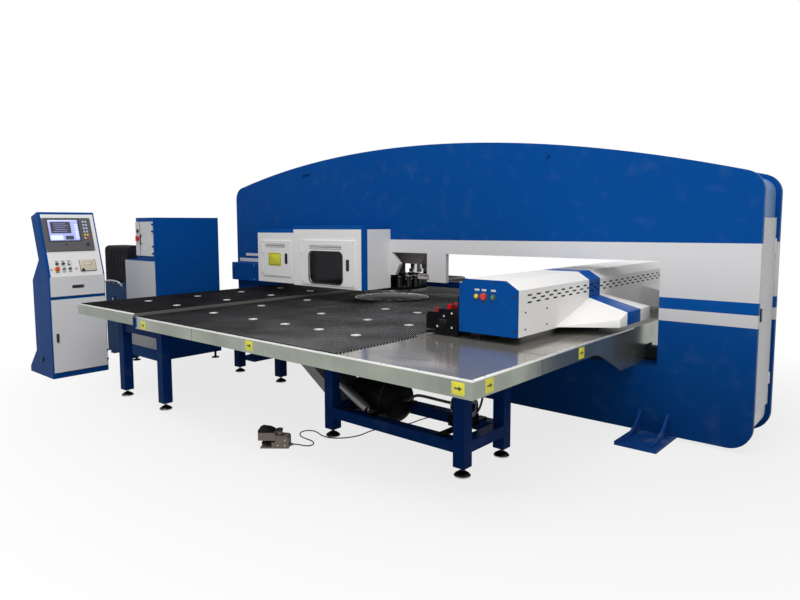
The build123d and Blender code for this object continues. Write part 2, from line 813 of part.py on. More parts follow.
def tube_rail(x, y, z, along):
    """Rectangular tube between two legs."""
    wall = tube_wall
    if along == "x":
        return block(x, y, z) - block(x, (y[0] + wall, y[1] - wall), (z[0] + wall, z[1] - wall))
    return block(x, y, z) - block((x[0] + wall, x[1] - wall), y, (z[0] + wall, z[1] - wall))


def stand(xs, ys, tops, low_rails):
    """A welded table stand: four legs, upper rails and, where it has them, lower rails."""
    half = leg_width / 2
    tubes = []
    for x, top in zip(xs, tops):
        for y in ys:
            tubes.append(tube_upright(x, y, top - table_sheet))
    inner_x = (xs[0] + half, xs[1] - half)
    inner_y = (ys[0] + half, ys[1] - half)
    for y in ys:
        tubes.append(tube_rail(inner_x, (y - 30, y + 30), side_rail_z, "x"))
    for x in xs:
        tubes.append(tube_rail((x - 30, x + 30), inner_y, side_rail_z, "y"))
    if low_rails:
        for y in ys:
            tubes.append(tube_rail(inner_x, (y - half, y + half), lower_rail_z, "x"))
        for x in xs:
            tubes.append(tube_rail((x - half, x + half), inner_y, lower_rail_z, "y"))
    return group(*tubes)


def table_stands():
    left = stand(left_stand_x, left_stand_y, (left_table_top, main_table_top), False)
    right = stand(right_stand_x, right_stand_y, (main_table_top, main_table_top), True)
    return group(both_sides(left), both_sides(right))


def levelling_feet():
    """Threaded levelling feet under every leg of the stands."""
    profile = [(0, 0), (foot_disc_radius - 4, 0), (foot_disc_radius, 4), (foot_disc_radius, 12),
               (foot_disc_radius - 10, 22), (22, 36), (foot_stem_radius, 40),
               (foot_stem_radius, leg_bottom_z), (0, leg_bottom_z)]
    face = make_face(Polyline(*[(r, 0, z) for r, z in profile], close=True))
    foot = revolve(face, Axis.Z, 360)
    feet = []
    for xs, ys in ((left_stand_x, left_stand_y), (right_stand_x, right_stand_y)):
        for x in xs:
            for y in ys:
                feet.append(Pos(x, y, 0) * foot)
                feet.append(Pos(x, -y, 0) * foot)
    return group(*feet)


def scrap_chute():
    """Sloping slug chute that hangs from the underside of the front table."""
    top_z = main_table_top - table_sheet
    slope = tan(radians(chute_angle))
    foot_z = 215.0
    head_x = chute_foot_x - (top_z - foot_z) / slope

    def profile(lift):
        rise = lift / cos(radians(chute_angle))
        return [(head_x, top_z), (chute_foot_x, foot_z), (chute_foot_x, foot_z + rise),
                (head_x + rise / slope, top_z)]

    outer = prism_y(profile(chute_depth), *chute_y)
    hollow = prism_y([(x, z + chute_sheet / cos(radians(chute_angle))) for x, z in profile(chute_depth)],
                     chute_y[0] + chute_sheet, chute_y[1] - chute_sheet)
    trough = outer - hollow
    flange = block((head_x, head_x + chute_depth / sin(radians(chute_angle))), chute_y,
                   (top_z - chute_sheet, top_z))
    opening = block((head_x + 12, head_x + chute_depth / sin(radians(chute_angle)) - 12),
                    (chute_y[0] + 12, chute_y[1] - 12), (top_z - 10, top_z + 1))
    return trough + flange - opening


def air_receiver():
    """Air tank hung from two bars across the lower rails of the front right stand, and its pump."""
    y = (right_stand_y[0] + right_stand_y[1]) / 2
    z = lower_rail_z[1] + receiver_height
    tank = rod_x(y, z, receiver_x[0], receiver_x[1], receiver_radius)
    tank = fillet(tank.edges().filter_by(GeomType.CIRCLE), receiver_radius * 0.45)
    void = rod_x(y, z, receiver_x[0] + 60, receiver_x[1] - 60, receiver_radius - 6)
    for x in (receiver_x[0] + 110, receiver_x[1] - 110):
        cradle = block((x - 20, x + 20), (y - 90, y + 90), (lower_rail_z[1], z))
        bar = block((x - 25, x + 25), (right_stand_y[0] - 20, right_stand_y[1] + 20),
                    (lower_rail_z[1], lower_rail_z[1] + 12))
        tank += cradle + bar
    low = lower_rail_z[1] + 12
    pump = block(pump_x, (y - 80, y + 80), (low, low + 78))
    pump += rod_x(y, low + 138, pump_x[0] + 10, pump_x[1] - 10, pump_radius)
    pump += post(pump_x[0] + 50, y + 40, low + 77, low + 205, 22)
    pump += block((pump_x[0] + 40, pump_x[0] + 100), (right_stand_y[0] - 20, right_stand_y[1] + 20),
                  (lower_rail_z[1], low + 1))
    return group(tank - void, pump)


def ground_rails():
    """Two guide rails on the bottom of the window, for the saddle."""
    rails = []
    for side in (-1, 1):
        y = side * ground_rail_y
        rail = block((centre_table_right + 30, table_right - table_sheet - 4),
                     (y - ground_rail_width / 2, y + ground_rail_width / 2),
                     (window_bottom, window_bottom + ground_rail_height))
        groove = rod_x(y - ground_rail_width / 2, window_bottom + 34, 0, window_right, 6)
        groove += rod_x(y + ground_rail_width / 2, window_bottom + 34, 0, window_right, 6)
        rails.append(rail - groove)
    return group(*rails)


def beam_drive():
    """Ball screw along the window with its end blocks and servo motor."""
    x0 = centre_table_right + 40
    x1 = window_right - 260
    parts = []
    for x in (x0, x1):
        bearing = block((x, x + 60), (-50, 50), (window_bottom, screw_z + 45))
        parts.append(bearing - rod_x(0, screw_z, x - 1, x + 61, screw_radius + seat_gap))
    parts.append(rod_x(0, screw_z, x0 + 5, x1 + 61, screw_radius))
    motor = block((x1 + 61, window_right - 20), (-52, 52), (screw_z - 52, screw_z + 52))
    motor = fillet(motor.edges().filter_by(Axis.X), 14)
    motor += block((x1 + 80, window_right - 40), (-40, 40), (window_bottom, screw_z - 50))
    parts.append(motor)
    return group(*parts)


def saddle():
    """Cast saddle under the beam, with a runner block over each end of each rail and the screw nut."""
    rail_top = window_bottom + ground_rail_height
    body = block(saddle_x, (-saddle_half, saddle_half), (rail_top + 40, beam_z[0]))
    tunnel = block((saddle_x[0] - 1, saddle_x[1] + 1), (-95, 95), (rail_top - 20, screw_z + 120))
    body -= tunnel
    pocket = block((saddle_x[0] + 45, saddle_x[1] - 45), (-saddle_half - 1, saddle_half + 1),
                   (rail_top + 120, beam_z[0] - 60))
    rib = block((saddle_x[0] + 1, saddle_x[1] - 1), (-12, 12), (rail_top + 110, beam_z[0] - 1))
    body -= pocket
    body += rib
    for x in (saddle_x[0] + 70, saddle_x[1] - 70):
        for side in (-1, 1):
            y = side * ground_rail_y
            half = ground_rail_width / 2
            runner = block((x - 55, x + 55), (y - half - 22, y + half + 22),
                           (window_bottom + 16, rail_top + 41))
            slot = block((x - 56, x + 56), (y - half - seat_gap, y + half + seat_gap),
                         (window_bottom, rail_top + seat_gap))
            body += runner - slot
    nut_x = (saddle_x[0] + saddle_x[1]) / 2
    nut = block((nut_x - 60, nut_x + 60), (-96, 96), (screw_z - 42, screw_z + 121))
    nut -= rod_x(0, screw_z, nut_x - 61, nut_x + 61, screw_radius + running_gap)
    return body + nut


def beam():
    """Hollow beam with two guide rails on its left face."""
    tube = block(beam_x, (-beam_half, beam_half), beam_z)
    tube -= block((beam_x[0] + beam_wall, beam_x[1] - beam_wall), (-beam_half - 1, beam_half + 1),
                  (beam_z[0] + beam_wall, beam_z[1] - beam_wall))
    for z in beam_rail_z:
        tube += block((beam_x[0] - rail_section, beam_x[0]), (-beam_half, beam_half),
                      (z - rail_section / 2, z + rail_section / 2))
    return tube


def cover_profile(inset):
    """Section of the beam cover: two cut corners at the top."""
    x0 = beam_cover_x[0] + inset
    x1 = beam_cover_x[1] - inset
    z1 = beam_cover_z[1] - inset
    left_x, left_z = beam_chamfer_left
    right_x, right_z = beam_chamfer_right
    return [(x0, beam_cover_z[0]), (x1, beam_cover_z[0]), (x1, z1 - right_z), (x1 - right_x, z1),
            (x0 + left_x, z1), (x0, z1 - left_z)]


def beam_cover():
    """Long folded cover with three staggered rows of vent slots down its right side."""
    shell = prism_y(cover_profile(0), -beam_half, beam_half)
    shell -= prism_y(cover_profile(cover_sheet), -beam_half - 1, beam_half + 1)
    shell -= block((beam_cover_x[0] - 1, beam_cover_x[1] - cover_sheet), (-beam_half - 1, beam_half + 1),
                   (beam_cover_z[0] - 1, cover_left_skirt))
    for side in (-1, 1):
        shell += block((beam_x[1] + 0.3, beam_cover_x[1] - 1), (side * (beam_half - 30) - 15,
                       side * (beam_half - 30) + 15), (beam_z[0] + 40, beam_z[0] + 60))
    x = (beam_cover_x[1] - 5, beam_cover_x[1] + 1)
    count = int((2 * beam_half - 300) / vent_pitch)
    for row, z in enumerate(vent_rows):
        shift = vent_pitch / 2 if row == 1 else 0.0
        for index in range(count):
            y = -beam_half + 149 + shift + index * vent_pitch
            if y + vent_length / 2 < beam_half - 20:
                shell -= block(x, (y - vent_length / 2, y + vent_length / 2),
                               (z - vent_height / 2, z + vent_height / 2))
    return shell


def beam_caps():
    """End plates of the beam. The front one has the holes of the three buttons."""
    front = prism_y(cover_profile(0), -beam_half - cap_plate, -beam_half)
    rear = prism_y(cover_profile(0), beam_half, beam_half + cap_plate)
    for x, radius in button_places.values():
        front -= rod_y(x, button_z, -beam_half - cap_plate - 1, -beam_half + 1, button_stem + running_gap)
    return group(front, rear)


def beam_button(name):
    """Push button: a domed head on a stem through the end plate."""
    x, radius = button_places[name]
    face = -beam_half - cap_plate
    gap = button_travel + 2
    head = rod_y(x, button_z, face - gap - 14, face - gap, radius)
    head = fillet(head.edges().filter_by(GeomType.CIRCLE).sort_by(Axis.Y)[0], 6)
    return head + rod_y(x, button_z, face - gap, -beam_half + 8, button_stem)


def saddle_skirts():
    """Flared covers of the saddle, one in front of the frame and one further back behind it."""
    x0 = beam_cover_x[1]

    def section(inset):
        return [(x0, skirt_bottom - inset), (skirt_right - inset, skirt_bottom - inset),
                (skirt_right - inset, skirt_shoulder - inset), (x0, skirt_top - inset)]

    shell = prism_y(section(0), -skirt_far, -skirt_near)
    shell -= prism_y(section(cover_sheet), -skirt_far - 1, -skirt_near - cover_sheet)
    cut = [(x0 - 1, -skirt_far), (skirt_right + 1, -skirt_flare), (skirt_right + 1, -skirt_far - 2),
           (x0 - 1, -skirt_far - 2)]
    shell -= prism_z(cut, skirt_bottom - 10, skirt_top + 10)
    length = hypot(skirt_right - x0, skirt_far - skirt_flare)
    face_points = [(x0, -skirt_far), (skirt_right, -skirt_flare), (skirt_right, -skirt_flare + cover_sheet * 2),
                   (x0, -skirt_far + cover_sheet * length / (skirt_right - x0))]
    front = prism_z(face_points, skirt_bottom, skirt_top)
    shell += front & prism_y(section(0), -skirt_far, -skirt_near)
    rear = Pos(0, skirt_rear_near - skirt_near, 0) * mirror(shell, about=Plane.XZ)
    return group(shell, rear)


def clamp_carriage():
    """Carriage plate along the left face of the beam, with its runner blocks."""
    plate = block(carriage_x, carriage_y, carriage_z)
    for y in (carriage_y[0] + 60, (carriage_y[0] + carriage_y[1]) / 2, carriage_y[1] - 60):
        for z in beam_rail_z:
            half = rail_section / 2
            runner = block((carriage_x[1], beam_x[0] - 3), (y - 45, y + 45), (z - half - 18, z + half + 18))
            runner -= block((beam_x[0] - rail_section - seat_gap, beam_x[0]), (y - 46, y + 46),
                            (z - half - seat_gap, z + half + seat_gap))
            plate += runner
    return plate


def clamp_bodies():
    """Three clamp blocks with an open throat for the sheet edge and a slot for the upper jaw."""
    blocks = []
    for y in clamp_centres:
        half = clamp_width / 2
        body = block(clamp_x, (y - half, y + half), (clamp_bottom, clamp_front_top))
        body = chamfer(body.edges().filter_by(Axis.Y).group_by(Axis.X)[0].sort_by(Axis.Z)[-1], 20)
        body += block((clamp_step_x, clamp_x[1]), (y - half, y + half), (clamp_front_top - 1, clamp_top))
        throat = block((clamp_x[0] - 1, clamp_x[0] + 90), (y - half - 1, y + half + 1), clamp_throat)
        slot = block((clamp_x[0] - 1, jaw_pivot[0] + 60), (y - jaw_width / 2 - 2, y + jaw_width / 2 + 2),
                     (clamp_throat[0], clamp_front_top - 18))
        body -= throat + slot
        body += rod_y(jaw_pivot[0], jaw_pivot[1], y - jaw_width / 2 - 4, y + jaw_width / 2 + 4, pin_radius)
        for x, offset, seat, radius in ((clamp_step_x + 82, -half + 25, clamp_top, cap_radius),
                                        (clamp_step_x + 82, 0, clamp_top, cap_radius),
                                        (clamp_step_x - 30, -half + 14, clamp_front_top, front_pin_radius)):
            cap = post(x, y + offset, seat - 1, seat + cap_height, radius)
            body += fillet(cap.edges().filter_by(GeomType.CIRCLE).sort_by(Axis.Z)[-1], radius * 0.8)
        blocks.append(body)
    return group(*blocks)


def clamp_jaw(index):
    """Upper clamp jaw that rocks on its pin."""
    y = clamp_centres[index]
    x, z = jaw_pivot
    tip = clamp_throat[1] - 2
    profile = [(clamp_x[0] + 2, tip), (clamp_x[0] + 34, tip), (x - 40, z - 34), (x + 22, z - 34),
               (x + 22, z + 30), (x - 50, z + 30), (clamp_x[0] + 2, tip + 26)]
    jaw = prism_y(profile, y - jaw_width / 2, y + jaw_width / 2)
    return jaw - rod_y(x, z, y - jaw_width, y + jaw_width, pin_radius + running_gap)


def console_point(slope, lift=0.0):
    """A point (x, z) on the sloping face of the console, a way up the slope and off the face."""
    low = console_profile[1]
    high = console_profile[2]
    length = hypot(high[0] - low[0], high[1] - low[1])
    along = ((high[0] - low[0]) / length, (high[1] - low[1]) / length)
    normal = (along[1], -along[0])
    return (console_front + low[0] + along[0] * slope + normal[0] * lift,
            low[1] + along[1] * slope + normal[1] * lift)


def slope_angle():
    low = console_profile[1]
    high = console_profile[2]
    return degrees(atan2(low[0] - high[0], high[1] - low[1]))


def slope_block(slopes, ys, lifts):
    """A block laid on the sloping face."""
    points = [console_point(slopes[0], lifts[0]), console_point(slopes[1], lifts[0]),
              console_point(slopes[1], lifts[1]), console_point(slopes[0], lifts[1])]
    return prism_y(points, *ys)


def slope_rod(slope, y, lifts, radius):
    """A cylinder square to the sloping face."""
    x, z = console_point(slope, (lifts[0] + lifts[1]) / 2)
    turn = Rot(0, 90 - slope_angle(), 0)
    return Pos(x, y, z) * turn * Cylinder(radius, lifts[1] - lifts[0])


def inset_profile(wall):
    """The console section with its walls taken off."""
    points = [(console_front + x, z) for x, z in console_profile]
    face = make_face(Polyline(*[(x, 0, z) for x, z in points], close=True))
    return offset(face, amount=-wall)


estop_y = console_y[0] + 103.0
start_y = console_y[0] + 176.0
selector_y = console_y[0] + 375.0


def console_body():
    """Folded console housing with two shelves, a doorway, a drawer opening and control holes."""
    points = [(console_front + x, z) for x, z in console_profile]
    body = prism_y(points, *console_y)
    hollow = extrude(inset_profile(console_sheet), amount=console_y[1] - console_y[0] - 2 * console_sheet,
                     dir=(0, 1, 0))
    hollow = Pos(0, console_y[0] + console_sheet, 0) * hollow
    body -= hollow
    for z in (shelf_low, shelf_high):
        shelf = block((console_front - 400, console_front - 1), (console_y[0] + 1, console_y[1] - 1),
                      (z, z + console_sheet))
        body += shelf
    body -= block((console_front - console_sheet - 1, console_front + 1),
                  (console_y[0] + 24, console_y[1] - 24), (console_door_z[0] + 8, console_door_z[1] - 8))
    body -= block((console_front - console_sheet - 1, console_front + 1),
                  (console_y[0] + 24, console_y[1] - 24), (drawer_z[0] + 4, drawer_z[1] - 4))
    axis_x = console_front + 17
    axis_y = console_y[1] - 14
    for z in (console_door_z[0] + 120, console_door_z[1] - 120):
        body += hinge_fixed(axis_x, axis_y, z, console_knuckle, (console_front - 1, axis_x + 4),
                            (axis_y, axis_y + 12))
    for y, radius in ((estop_y, 11.0), (start_y, 9.0), (selector_y, 9.0)):
        slope = control_slope if y != selector_y else 55.0
        body -= slope_rod(slope, y, (-console_sheet - 2, 2), radius + running_gap)
    return body


def console_panel():
    """Screen panel with a sunk display, a key strip and the fixed lamps and sockets below it."""
    panel = slope_block(panel_slope, panel_span, (0, panel_thickness))
    edges = panel.edges().filter_by(Axis.Y)
    panel = chamfer(edges.sort_by(Axis.X)[-1], 4)
    panel -= slope_block(screen_slope, screen_span, (panel_thickness - 5, panel_thickness + 1))
    for row in range(6):
        for column in range(2):
            y = console_y[0] + 450 + column * 30
            slope = 405 + row * 38
            panel += slope_block((slope, slope + 26), (y, y + 22), (panel_thickness - 1, panel_thickness + 3))
    left = console_y[0]
    lamps = [slope_rod(control_row_two, left + y, (0, 22), 14) for y in (109, 174, 238)]
    lamps += [slope_rod(control_slope, left + y, (0, 16), radius) for y, radius in ((43, 8), (239, 14), (303, 8))]
    plate = slope_block((40, 172), (left + 349, left + 525), (0, 6))
    plate -= slope_rod(55, selector_y, (-1, 7), 9 + running_gap)
    return group(panel, plate, *lamps)


def console_emergency_stop():
    head = slope_rod(control_slope, estop_y, (8, 30), 21)
    return head + slope_rod(control_slope, estop_y, (-30, 9), 11)


def console_start_button():
    return slope_rod(control_slope, start_y, (6, 18), 14) + slope_rod(control_slope, start_y, (-30, 7), 9)


def console_selector():
    """Rotary selector with a raised grip."""
    knob = slope_rod(55, selector_y, (6.5, 18), 17) + slope_rod(55, selector_y, (-20, 7), 9)
    return knob + slope_block((41, 69), (selector_y - 4, selector_y + 4), (17, 30))


def console_drawer():
    """Keyboard drawer: a tray behind a front plate with a recessed pull."""
    y = (console_y[0] + 28, console_y[1] - 28)
    z = (shelf_low + console_sheet + 0.4, drawer_z[1] - 10)
    front_x = (console_front + seat_gap, console_front + 18)
    front = block(front_x, (console_y[0] + 14, console_y[1] - 14), drawer_z)
    grip = block((front_x[1] - 8, front_x[1] + 1), (console_y[0] + 247, console_y[0] + 355), (981, 999))
    box = block((console_front - drawer_length, front_x[0] + 1), y, (z[0], z[0] + 90))
    box -= block((console_front - drawer_length + 3, front_x[0] - 5), (y[0] + 3, y[1] - 3),
                 (z[0] + 3, z[0] + 91))
    link = block((front_x[0] - 6, front_x[0] + 1), y, (z[0] + 2, z[0] + 91))
    box_all = box + link & block((console_front - 500, front_x[1]), (console_y[0] + 28, console_y[1] - 28),
                                 (drawer_z[0] + 4, drawer_z[1] - 4))
    return front - grip + box_all


def console_door():
    """Lower door of the console with hinge knuckles on its right edge."""
    x = (console_front + seat_gap, console_front + 17)
    y = (console_y[0] + 14, console_y[1] - 14)
    door = block(x, y, console_door_z)
    door -= block((x[0] - 1, x[1] - 3), (y[0] + 3, y[1] - 3), (console_door_z[0] + 3, console_door_z[1] - 3))
    door += rod_x(console_latch_y, console_latch_z, x[0], x[1], 16)
    door -= rod_x(console_latch_y, console_latch_z, x[0] - 1, x[1] + 1, 8 + running_gap)
    for z in (console_door_z[0] + 120, console_door_z[1] - 120):
        door = hinge_door(door, x[1], y[1], z, console_knuckle)
    return door


console_latch_y = console_y[0] + 59.0
console_latch_z = 445.0


def console_latch():
    return handle_slot_latch(console_front + 17.5, console_latch_y, console_latch_z, "x", 16)


def control_cabinet():
    """Stepped electrical cabinet: a wide closed base and an upper compartment behind a door."""
    base = block(cabinet_x, cabinet_y, (cabinet_bottom, cabinet_shelf))
    panel = block((cabinet_x[0] + 6, cabinet_x[1] - 6), (cabinet_y[0] - 8, cabinet_y[0] + 1),
                  (cabinet_bottom + 134, cabinet_shelf - 6))
    upper = block((cabinet_upper_left, cabinet_x[1]), cabinet_y, (cabinet_shelf - 1, cabinet_top))
    wall = cabinet_sheet
    cavity = block((cabinet_door_x[0] + 8, cabinet_door_x[1] - 8),
                   (cabinet_y[0] - 1, cabinet_y[0] + 260), (cabinet_door_z[0] + 8, cabinet_door_z[1] - 8))
    body = base + upper + panel - cavity
    rear = block((cabinet_upper_left + wall, cabinet_x[1] - wall), (cabinet_y[0] + 264, cabinet_y[1] - wall),
                 (cabinet_shelf + wall, cabinet_top - wall))
    low = block((cabinet_x[0] + wall, cabinet_x[1] - wall), (cabinet_y[0] + wall, cabinet_y[1] - wall),
                (cabinet_bottom + wall, cabinet_shelf - wall))
    body = body - rear - low
    axis_y = cabinet_y[0] - 18
    for z in (cabinet_door_z[0] + 70, cabinet_door_z[1] - 70):
        body += hinge_fixed(cabinet_door_x[1], axis_y, z, cabinet_knuckle,
                            (cabinet_door_x[1], cabinet_door_x[1] + 12), (axis_y - 3, cabinet_y[0] + 1))
    for x in (cabinet_x[0] + 60, cabinet_x[1] - 45):
        for y in (cabinet_y[0] + 60, cabinet_y[1] - 60):
            body += post(x, y, 0, 14, 38) + post(x, y, 13, cabinet_bottom + 1, 14)
    return body


isolator_x = cabinet_upper_left + 75.0
isolator_z = cabinet_shelf + 255.0


def cabinet_door():
    """Upper cabinet door with the isolator hole and hinge knuckles on its left edge."""
    y = (cabinet_y[0] - 18, cabinet_y[0] - seat_gap)
    door = block(cabinet_door_x, y, cabinet_door_z)
    door -= block((cabinet_door_x[0] + 3, cabinet_door_x[1] - 3), (y[0] + 3, y[1] + 1),
                  (cabinet_door_z[0] + 3, cabinet_door_z[1] - 3))
    door += rod_y(isolator_x, isolator_z, y[0], y[1], 24)
    door -= rod_y(isolator_x, isolator_z, y[0] - 1, y[1] + 1, 10 + running_gap)
    door += block((isolator_x + 45, isolator_x + 85), (y[0] - 8, y[0] + 1), (isolator_z - 50, isolator_z + 10))
    for z in (cabinet_door_z[0] + 70, cabinet_door_z[1] - 70):
        door = hinge_door(door, cabinet_door_x[1], y[0], z, cabinet_knuckle)
    return door


def cabinet_isolator():
    """Main switch: a round knob with a cross grip on its spindle."""
    y = cabinet_y[0] - 18.5
    knob = rod_y(isolator_x, isolator_z, y - 12, y, 30)
    knob += block((isolator_x - 8, isolator_x + 8), (y - 32, y - 11), (isolator_z - 28, isolator_z + 28))
    return knob + rod_y(isolator_x, isolator_z, y - 1, y + 17, 10)


def hydraulic_tank():
    """Oil tank on four pads with a lid rim, and the pump motor that stands on its lid."""
    tank = block(tank_x, tank_y, (40, tank_top))
    tank = fillet(tank.edges().filter_by(Axis.Z), 16)
    rim = block((tank_x[0] - 12, tank_x[1] + 12), (tank_y[0] - 12, tank_y[1] + 12),
                (tank_top - 26, tank_top - 10))
    gauge = block((tank_x[0] + 225, tank_x[0] + 255), (tank_y[0] - 14, tank_y[0] + 1), gauge_z)
    tank += rim + gauge
    tank -= block((tank_x[0] + 6, tank_x[1] - 6), (tank_y[0] + 6, tank_y[1] - 6), (46, tank_top - 8))
    for x in (tank_x[0] + 70, tank_x[1] - 70):
        for y in (tank_y[0] + 70, tank_y[1] - 70):
            tank += block((x - 40, x + 40), (y - 40, y + 40), (0, 41))
    x = (tank_x[0] + tank_x[1]) / 2
    motor = post(x, tank_y[1] - 170, tank_top, tank_top + 18, 130)
    top = tank_top + pump_motor_height
    motor += post(x, tank_y[1] - 170, tank_top + 17, top - 50, 105)
    motor += post(x, tank_y[1] - 170, top - 51, top, 96)
    return group(tank, motor)


def oil_cooler():
    """Finned oil cooler on the tank, its fins standing upright along the front and over the top."""
    x = (tank_x[0] + 12, tank_x[1] - 12)
    y = (tank_y[0] + 14, tank_y[0] + cooler_depth)
    core = block(x, (y[0] + 22, y[1] - 22), (tank_top, cooler_top - 26))
    pitch = (x[1] - x[0]) / fin_count
    for index in range(fin_count):
        start = x[0] + pitch * index
        fin = block((start, start + pitch * 0.55), y, (tank_top, cooler_top))
        fin = fillet(fin.edges().filter_by(Axis.X).sort_by(Axis.Z)[2:], 60)
        core += fin
    return core - block((x[0] + 12, x[1] - 12), (y[0] + 34, y[1] - 34), (tank_top + 12, cooler_top - 38))


def place_pedal(shape):
    return Pos(pedal_place[0], pedal_place[1], 0) * Rot(0, 0, pedal_turn) * shape


def pedal_base():
    """Foot switch: floor plate, body with a knob, and a hood held out over the treadle."""
    half = pedal_length / 2
    wide = pedal_width / 2
    sheet = pedal_sheet
    floor = block((-half, half), (-wide, wide), (0, 8))
    hood_points = [(-half - 16, 60), (-half - 16, 136), (-half + 8, 146), (-half + 66, 138), (-half + 100, 120),
                   (8, 92), (8, 60)]
    hood = prism_y(hood_points, -wide, wide)
    hollow_points = [(-half - 30, 50), (-half - 30, 131), (-half + 8, 140), (-half + 64, 132),
                     (-half + 96, 115), (2, 89), (2, 50)]
    hood -= prism_y(hollow_points, -wide + sheet, wide - sheet)
    body = prism_y([(4, 7), (4, 92), (half - 10, 84), (half, 70), (half, 7)], -wide + 2, wide - 2)
    body += post(32, 0, 80, 126, 21)
    base = floor + body + hood
    y, z, reach = pedal_gland
    base += rod_x(y, z, half - 1, half + reach, 10)
    for side in (-1, 1):
        lug = sorted((side * (wide - 10), side * (wide - 2)))
        stub = sorted((side * (wide - 26), side * (wide - 9)))
        base += block((pedal_pivot[0] - 12, 5), lug, (7, pedal_pivot[1] + 12))
        base += rod_y(*pedal_pivot, *stub, 5)
    return place_pedal(base)


def pedal_treadle():
    """Tread plate under the hood, on two pivot stubs."""
    half = pedal_length / 2
    wide = pedal_width / 2 - 12
    x, z = pedal_pivot
    tread = prism_y([(-half + 8, 32), (x - 4, z - 9), (x + 8, z - 9), (x + 8, z + 8), (x - 8, z + 10),
                     (-half + 8, 42)], -wide, wide)
    tread -= rod_y(x, z, -wide - 1, wide + 1, 5 + running_gap)
    return place_pedal(tread)


def pedal_cable_points():
    """Centre line of the pedal cable: from the gland in two loose loops, then under the table."""
    turn = radians(pedal_turn)
    side, lift, out = pedal_gland
    reach = pedal_length / 2 + out
    start = (pedal_place[0] + reach * cos(turn) - side * sin(turn),
             pedal_place[1] + reach * sin(turn) + side * cos(turn))
    points = [
        (start[0], start[1], lift),
        (start[0] + 30 * cos(turn), start[1] + 30 * sin(turn), lift),
        (start[0] + 76 * cos(turn), start[1] + 76 * sin(turn), 12.0),
        (512.0, -2232.0, cable_height), (508.0, -2184.0, cable_height),
        (470.0, -2152.0, cable_height), (415.0, -2140.0, cable_height),
        (350.0, -2140.0, cable_height), (288.0, -2128.0, cable_height),
        (240.0, -2090.0, cable_height), (214.0, -2040.0, cable_height),
        (232.0, -1992.0, cable_height), (285.0, -1972.0, cable_height),
        (345.0, -1987.0, cable_height), (412.0, -2012.0, cable_height),
        (496.0, -2008.0, cable_height), (564.0, -1958.0, cable_height),
        (612.0, -1880.0, cable_height), (634.0, -1796.0, cable_height),
        (618.0, -1682.0, cable_height), (642.0, -1560.0, cable_height),
        (700.0, -1444.0, cable_height), (742.0, -1316.0, cable_height),
        (736.0, -1184.0, cable_height), (760.0, -1056.0, cable_height),
        (748.0, -924.0, cable_height), (770.0, -796.0, cable_height),
        (762.0, -668.0, cable_height), (744.0, -552.0, cable_height),
        (748.0, -470.0, 9.0), (gland_place[0], -414.0, 36.0), (gland_place[0], -364.0, gland_place[1]),
        (gland_place[0], -half_depth - 16, gland_place[1]),
    ]
    return points


def pedal_cable():
    """Plain tube along the cable's route, and its gland on the face of the frame."""
    points = pedal_cable_points()
    runs = [(Vector(*b) - Vector(*a)) for a, b in zip(points, points[1:])]
    radii = []
    for before, after in zip(runs, runs[1:]):
        half_turn = radians(before.get_angle(after)) / 2
        radii.append(0.45 * min(before.length, after.length) / tan(half_turn))
    print("cable bend radii", [round(radius) for radius in radii])
    route = FilletPolyline(*points, radius=radii)
    start = Plane(origin=points[0], z_dir=runs[0])
    tube = sweep(start * Circle(cable_radius), path=route)
    print("cable length", round(route.length), "tube", round(tube.volume / (pi * cable_radius ** 2)))
    return tube


def cable_gland():
    """Gland on the face of the frame where the pedal cable goes in."""
    return rod_y(*gland_place, -half_depth - 16, -half_depth, 13)


sub_parts = {
    "o_frame": o_frame,
    "anchor_feet": anchor_feet,
    "frame_covers": frame_covers,
    "frame_end_door": frame_end_door,
    "frame_end_latch": frame_end_latch,
    "turret_drive_housing": turret_drive_housing,
    "upper_turret": upper_turret,
    "punch_tools": punch_tools,
    "lower_turret": lower_turret,
    "die_tools": die_tools,
    "turret_carriers": turret_carriers,
    "punch_cylinder": punch_cylinder,
    "punch_ram": punch_ram,
    "punch_hood": punch_hood,
    "turret_guard": turret_guard,
    "guard_main_door": guard_main_door,
    "guard_window": guard_window,
    "guard_small_door": guard_small_door,
    "guard_main_latch": guard_main_latch,
    "guard_small_latch": guard_small_latch,
    "table_left": table_left_panel,
    "table_main": table_main,
    "table_centre": table_centre,
    "brush_beds": brush_beds,
    "table_stands": table_stands,
    "levelling_feet": levelling_feet,
    "scrap_chute": scrap_chute,
    "air_receiver": air_receiver,
    "ground_rails": ground_rails,
    "beam_drive": beam_drive,
    "saddle": saddle,
    "beam": beam,
    "beam_cover": beam_cover,
    "beam_caps": beam_caps,
    "beam_stop_button": lambda: beam_button("beam_stop_button"),
    "beam_emergency_stop": lambda: beam_button("beam_emergency_stop"),
    "beam_start_button": lambda: beam_button("beam_start_button"),
    "saddle_skirts": saddle_skirts,
    "clamp_carriage": clamp_carriage,
    "clamp_bodies": clamp_bodies,
    "clamp_jaw_1": lambda: clamp_jaw(0),
    "clamp_jaw_2": lambda: clamp_jaw(1),
    "clamp_jaw_3": lambda: clamp_jaw(2),
    "console_body": console_body,
    "console_panel": console_panel,
    "console_emergency_stop": console_emergency_stop,
    "console_start_button": console_start_button,
    "console_selector": console_selector,
    "console_drawer": console_drawer,
    "console_door": console_door,
    "console_latch": console_latch,
    "control_cabinet": control_cabinet,
    "cabinet_door": cabinet_door,
    "cabinet_isolator": cabinet_isolator,
    "hydraulic_tank": hydraulic_tank,
    "oil_cooler": oil_cooler,
    "pedal_base": pedal_base,
    "pedal_treadle": pedal_treadle,
    "pedal_cable": pedal_cable,
    "cable_gland": cable_gland,
}

os.makedirs("parts", exist_ok=True)
for name, make in sub_parts.items():
    shape = make()
    export_step(shape, f"parts/{name}.step")
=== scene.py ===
"""Finishes and small parts of a CNC turret punch press, laid out as an add-on around a fixed frame."""

